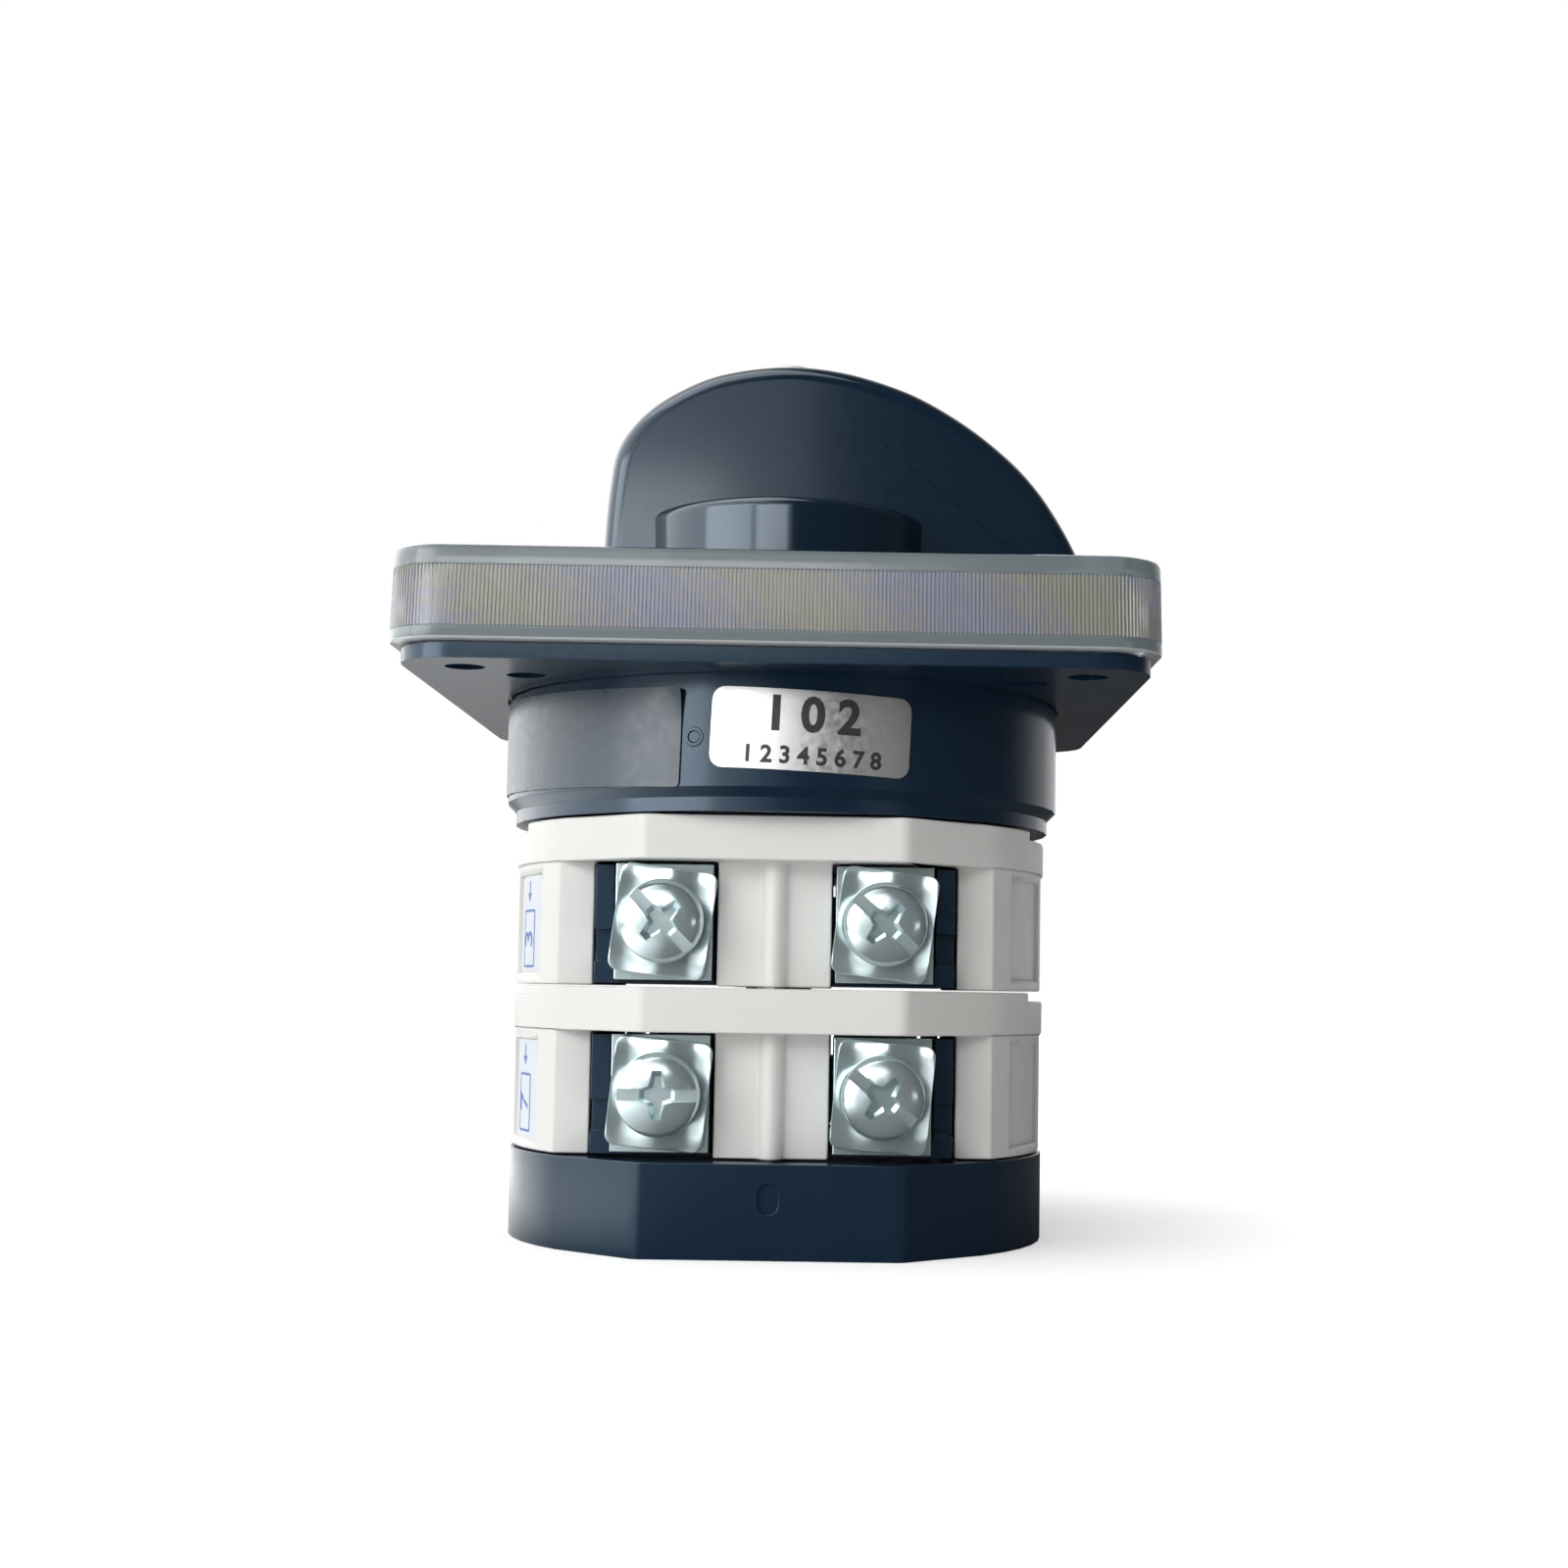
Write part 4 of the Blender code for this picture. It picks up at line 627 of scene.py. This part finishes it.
ribbed, tree, shader = fresh_material(
    "ribbed_acrylic", Transmission_Weight=0.55, Roughness=0.12, IOR=1.49
)
# The diagonal olive and violet stripes are a painted moiré of the light through the ribs, not a colour of
# the acrylic.
painted_moire_stripes = textured(
    tree, "ShaderNodeTexWave", Scale=26, Distortion=2.5, Detail=2, Detail_Scale=40
)
painted_moire_stripes.bands_direction = "DIAGONAL"
painted_moire_glint = mixed(tree, painted_moire_stripes.outputs["Fac"], (0.52, 0.515, 0.44), (0.45, 0.465, 0.58))
place = tree.nodes.new("ShaderNodeTexCoord")
level = tree.nodes.new("ShaderNodeSeparateXYZ")
tree.links.new(place.outputs["Object"], level.inputs["Vector"])
# Above and below the ribs the smooth bands get a painted dark teal shade, standing in for the light that
# their refraction bends away.
from_middle = reckoned(tree, "SUBTRACT", level.outputs["Z"], (rib_foot + rib_head) / 2)
from_middle = reckoned(tree, "ABSOLUTE", from_middle)
band_for_painted_shade = reckoned(tree, "GREATER_THAN", from_middle, (rib_head - rib_foot) / 2)
with_painted_band_shade = mixed(tree, band_for_painted_shade, painted_moire_glint, (0.31, 0.37, 0.39))
# The thin pale line along the foot edge is a painted highlight.
painted_foot_highlight = reckoned(tree, "LESS_THAN", level.outputs["Z"], cover_foot + 0.00022)
tree.links.new(mixed(tree, painted_foot_highlight, with_painted_band_shade, (0.80, 0.82, 0.84)), shader.inputs["Base Color"])
window, tree, shader = fresh_material("clear_window", Transmission_Weight=1.0, Roughness=0.03, IOR=1.49)
haze = textured(tree, "ShaderNodeTexNoise", Scale=300, Detail=3)
faint = mixed(tree, haze.outputs["Fac"], (0.95, 0.97, 0.97), (0.91, 0.94, 0.95))
tree.links.new(faint, shader.inputs["Base Color"])
ribbed_cover = add_piece("ribbed_cover", bm, ribbed, "housing", "cover", sharp=30)
ribbed_cover.data.materials.append(window)

# Knob
# A navy pointer blade on a round hub, moulded in one with the neck that goes through the cover.
# It has a polished skin, is pressed on the square spindle and is held by the screw under the white cap.
navy_gloss = moulded_plastic(
    "navy_gloss", (0.0042, 0.0145, 0.030), (0.0052, 0.0165, 0.034), 0.13, 1400, 0.012,
    Specular_Tint=sky_tint, Coat_Weight=0.3, Coat_Roughness=0.08,
)
knob_foot = 0.05865
knob_height = 0.0231
blade_tip = 0.0296
blade_half = 0.0060
taper_up = 0.28
taper_out = 0.22
crown_round = 0.0018
round_steps = 7
hub_radius = 0.0136
hub_top = 0.06695
hub_round = 0.0010
neck_radius = 0.010015
neck_foot = 0.05265
well_radius = 0.0055
well_top = 0.0545
side_view = [
    (-17.2, 58.65), (-16.95, 65.8), (-16.6, 70.1), (-16.15, 72.7), (-15.1, 74.8), (-13.4, 76.8),
    (-11.2, 78.5), (-8.1, 80.15), (-5.2, 81.05), (-1.6, 81.63), (2.0, 81.70), (5.8, 81.2),
    (9.6, 80.15), (12.6, 78.95), (15.8, 77.15), (18.6, 75.2), (21.3, 72.9), (23.3, 70.75),
    (25.0, 68.4), (26.8, 65.3), (28.3, 62.0), (29.6, 58.65),
]


def smooth_line(points, steps):
    """A smooth line through the points, with some steps between each two."""
    line = []
    for index in range(len(points) - 1):
        p0 = Vector(points[max(index - 1, 0)])
        p1 = Vector(points[index])
        p2 = Vector(points[index + 1])
        p3 = Vector(points[min(index + 2, len(points) - 1)])
        for step in range(steps):
            t = step / steps
            line.append(
                0.5 * (2 * p1 + (p2 - p0) * t + (2 * p0 - 5 * p1 + 4 * p2 - p3) * t ** 2
                       + (3 * p1 - p0 - 3 * p2 + p3) * t ** 3)
            )
    line.append(Vector(points[-1]))
    return line


edge_line = [point * 0.001 for point in smooth_line(side_view, 4)]
inward = []
for index, point in enumerate(edge_line):
    if index in (0, len(edge_line) - 1):
        inward.append(Vector((1.0 if index == 0 else -1.0, 0.0)))
        continue
    along = (edge_line[index + 1] - edge_line[index - 1]).normalized()
    inward.append(Vector((along.y, -along.x)))
outlines = []
for side in (1, -1):
    for step in range(round_steps + 1):
        angle = math.radians(90 * (round_steps - step if side > 0 else step) / round_steps)
        depth = crown_round * (1 - math.cos(angle))
        outline = []
        for point, normal in zip(edge_line, inward):
            spot = point + normal * depth
            rise = max(spot.y - knob_foot, 0) / knob_height
            half = blade_half * (1 - taper_up * rise - taper_out * spot.x / blade_tip)
            reach = half - crown_round + crown_round * math.sin(angle)
            outline.append((spot.x, side * reach, max(spot.y, knob_foot)))
        outlines.append(outline)
bm = bmesh.new()
drawn_through(bm, outlines)
bmesh.ops.remove_doubles(bm, verts=bm.verts, dist=1e-6)
hub_line = [(0, hub_top)]
for step in range(7):
    angle = math.radians(90 - 15 * step)
    out = hub_radius - hub_round + hub_round * math.cos(angle)
    hub_line.append((out, hub_top - hub_round + hub_round * math.sin(angle)))
hub_line += [
    (hub_radius, knob_foot + 0.0002), (hub_radius - 0.0002, knob_foot), (neck_radius, knob_foot),
    (neck_radius, neck_foot), (well_radius, neck_foot), (well_radius, well_top), (0, well_top),
]
hub = turned(hub_line, 96)
hub_mesh = bpy.data.meshes.new("hub")
hub.to_mesh(hub_mesh)
hub.free()
bm.from_mesh(hub_mesh)
bpy.data.meshes.remove(hub_mesh)
bmesh.ops.recalc_face_normals(bm, faces=bm.faces)
even_shading(add_piece("pointer_knob", bm, navy_gloss, "rotor", "knob", sharp=35))

# Knob cap
# A white plug, pressed into the well over the knob's screw.
# Its top is slightly domed and stands half a millimetre out of the crown.
white_plug = moulded_plastic("white_plug", (0.80, 0.80, 0.78), (0.76, 0.76, 0.75), 0.35, 1800, 0.05)
bm = turned([
    (0, 0.08228), (0.0014, 0.08226), (0.0020, 0.08216), (0.00218, 0.08195), (0.00220, 0.0817),
    (0.0022, 0.0785), (0, 0.0785),
], 48)
add_piece("white_cap", bm, white_plug, "rotor", "knob_cap", sharp=50)

# Floor
# A white table top that runs out to the background and keeps the object's shadow.
# In the object's gloss it is dark in front and bright at the left, as in the photograph.
bm = bmesh.new()
bmesh.ops.create_grid(bm, x_segments=1, y_segments=1, size=3.0)
mesh = bpy.data.meshes.new("floor")
bm.to_mesh(mesh)
bm.free()
floor = bpy.data.objects.new("floor", mesh)
bpy.context.scene.collection.objects.link(floor)
paper, tree, shader = fresh_material(
    "white_paper", Roughness=0.9, Specular_IOR_Level=0.0, Emission_Color=(1, 1, 1, 1)
)
rays = tree.nodes.new("ShaderNodeLightPath")
place = tree.nodes.new("ShaderNodeTexCoord")
away = tree.nodes.new("ShaderNodeVectorMath")
away.operation = "LENGTH"
tree.links.new(place.outputs["Object"], away.inputs[0])
sides = tree.nodes.new("ShaderNodeSeparateXYZ")
tree.links.new(place.outputs["Object"], sides.inputs["Vector"])
to_left = ranged(tree, sides.outputs["X"], -0.01, -0.05, 0.0, 1.0)
in_gloss = mixed(tree, to_left, (0.14, 0.14, 0.14), (0.86, 0.86, 0.86))
paper_color = mixed(tree, rays.outputs["Is Glossy Ray"], (0.86, 0.86, 0.86), in_gloss)
tree.links.new(paper_color, shader.inputs["Base Color"])
fade = ranged(tree, away.outputs["Value"], 0.03, 0.14, 0.50, 1.0)
near_left = reckoned(tree, "MULTIPLY", ranged(tree, away.outputs["Value"], 0.10, 0.22, 1.5, 0.0), to_left)
glow = reckoned(tree, "MULTIPLY", rays.outputs["Is Glossy Ray"], near_left)
lift = reckoned(tree, "MULTIPLY_ADD", rays.outputs["Is Camera Ray"], fade, glow)
tree.links.new(lift, shader.inputs["Emission Strength"])
floor.data.materials.append(paper)

# Surroundings
# A white backdrop for the camera. In the object's gloss the room is dark in front and at the right,
# white behind and bright at the left, and its plain light is stronger from the left.
world = bpy.data.worlds.new("studio")
bpy.context.scene.world = world
world.use_nodes = True
tree = world.node_tree
background = tree.nodes["Background"]
background.inputs["Color"].default_value = (1, 1, 1, 1)
rays = tree.nodes.new("ShaderNodeLightPath")
heading = tree.nodes.new("ShaderNodeTexCoord")
split = tree.nodes.new("ShaderNodeSeparateXYZ")
tree.links.new(heading.outputs["Generated"], split.inputs["Vector"])
behind = ranged(tree, split.outputs["Y"], 0.30, 0.90, 0.0, 0.9)
left = ranged(tree, split.outputs["X"], 0.02, -0.75, 0.07, 3.0)
mirrored = reckoned(tree, "MAXIMUM", behind, left)
around = ranged(tree, split.outputs["X"], -1.0, 1.0, 0.45, 0.10)
mirror_ray = reckoned(tree, "MAXIMUM", rays.outputs["Is Glossy Ray"], rays.outputs["Is Transmission Ray"])
for_surfaces = tree.nodes.new("ShaderNodeMix")
tree.links.new(mirror_ray, for_surfaces.inputs["Factor"])
tree.links.new(around, for_surfaces.inputs["A"])
tree.links.new(mirrored, for_surfaces.inputs["B"])
seen = tree.nodes.new("ShaderNodeMix")
seen.inputs["B"].default_value = 1.0
tree.links.new(rays.outputs["Is Camera Ray"], seen.inputs["Factor"])
tree.links.new(for_surfaces.outputs["Result"], seen.inputs["A"])
tree.links.new(seen.outputs["Result"], background.inputs["Strength"])


# Lamps
# A large soft box at the front left, and a soft lamp above.
# Two cards in front, upper left, are seen in the knob's side; a weak lamp stands low at the front right.
def soft_box(name, position, target, width, height, power):
    """A rectangular lamp that faces its target. Lengths are in metres, power in watts."""
    lamp = bpy.data.lights.new(name, "AREA")
    lamp.shape = "RECTANGLE"
    lamp.size = width
    lamp.size_y = height
    lamp.energy = power
    obj = bpy.data.objects.new(name, lamp)
    bpy.context.scene.collection.objects.link(obj)
    aim = Vector(target) - Vector(position)
    obj.matrix_world = Matrix.Translation(position) @ aim.to_track_quat("-Z", "Y").to_matrix().to_4x4()


soft_box("key", (-0.38, -0.36, 0.16), (0, 0, 0.045), 0.36, 0.40, 1.60)
soft_box("card", (-0.142, -0.70, 0.27), (-0.142, 0, 0.27), 0.316, 0.156, 0.62)
soft_box("haze", (-0.17, -0.76, 0.40), (-0.17, 0, 0.40), 0.46, 0.40, 0.60)
soft_box("fill", (0.45, -0.50, 0.03), (0, 0, 0.03), 0.20, 0.05, 0.06)
soft_box("top", (-0.10, -0.05, 0.50), (0, 0, 0.05), 0.35, 0.30, 0.7)

# Camera
# Close in front, about level with the stages, looking slightly up.
# The photograph is a cut from a wider picture, so the view is shifted a little off the lens axis.
photo_width = 1600
focal_pixels = 2222.1
yaw = math.radians(0.526)
pitch = math.radians(4.437)
roll = math.radians(0.913)
ahead = Vector((math.sin(yaw) * math.cos(pitch), math.cos(yaw) * math.cos(pitch), math.sin(pitch)))
right = ahead.cross(Vector((0, 0, 1))).normalized()
up = right.cross(ahead)
right, up = (
    math.cos(roll) * right + math.sin(roll) * up,
    math.cos(roll) * up - math.sin(roll) * right,
)
lens = bpy.data.cameras.new("camera")
lens.sensor_width = 36
lens.lens = lens.sensor_width * focal_pixels / photo_width
lens.shift_x = -80 / photo_width
lens.shift_y = 40 / photo_width
lens.clip_start = 0.01
camera = bpy.data.objects.new("camera", lens)
bpy.context.scene.collection.objects.link(camera)
turn = Matrix((right, up, -ahead)).transposed().to_4x4()
camera.matrix_world = Matrix.Translation((0.005703, -0.206341, 0.022487)) @ turn
bpy.context.scene.camera = camera
bpy.context.scene.view_settings.view_transform = "Standard"
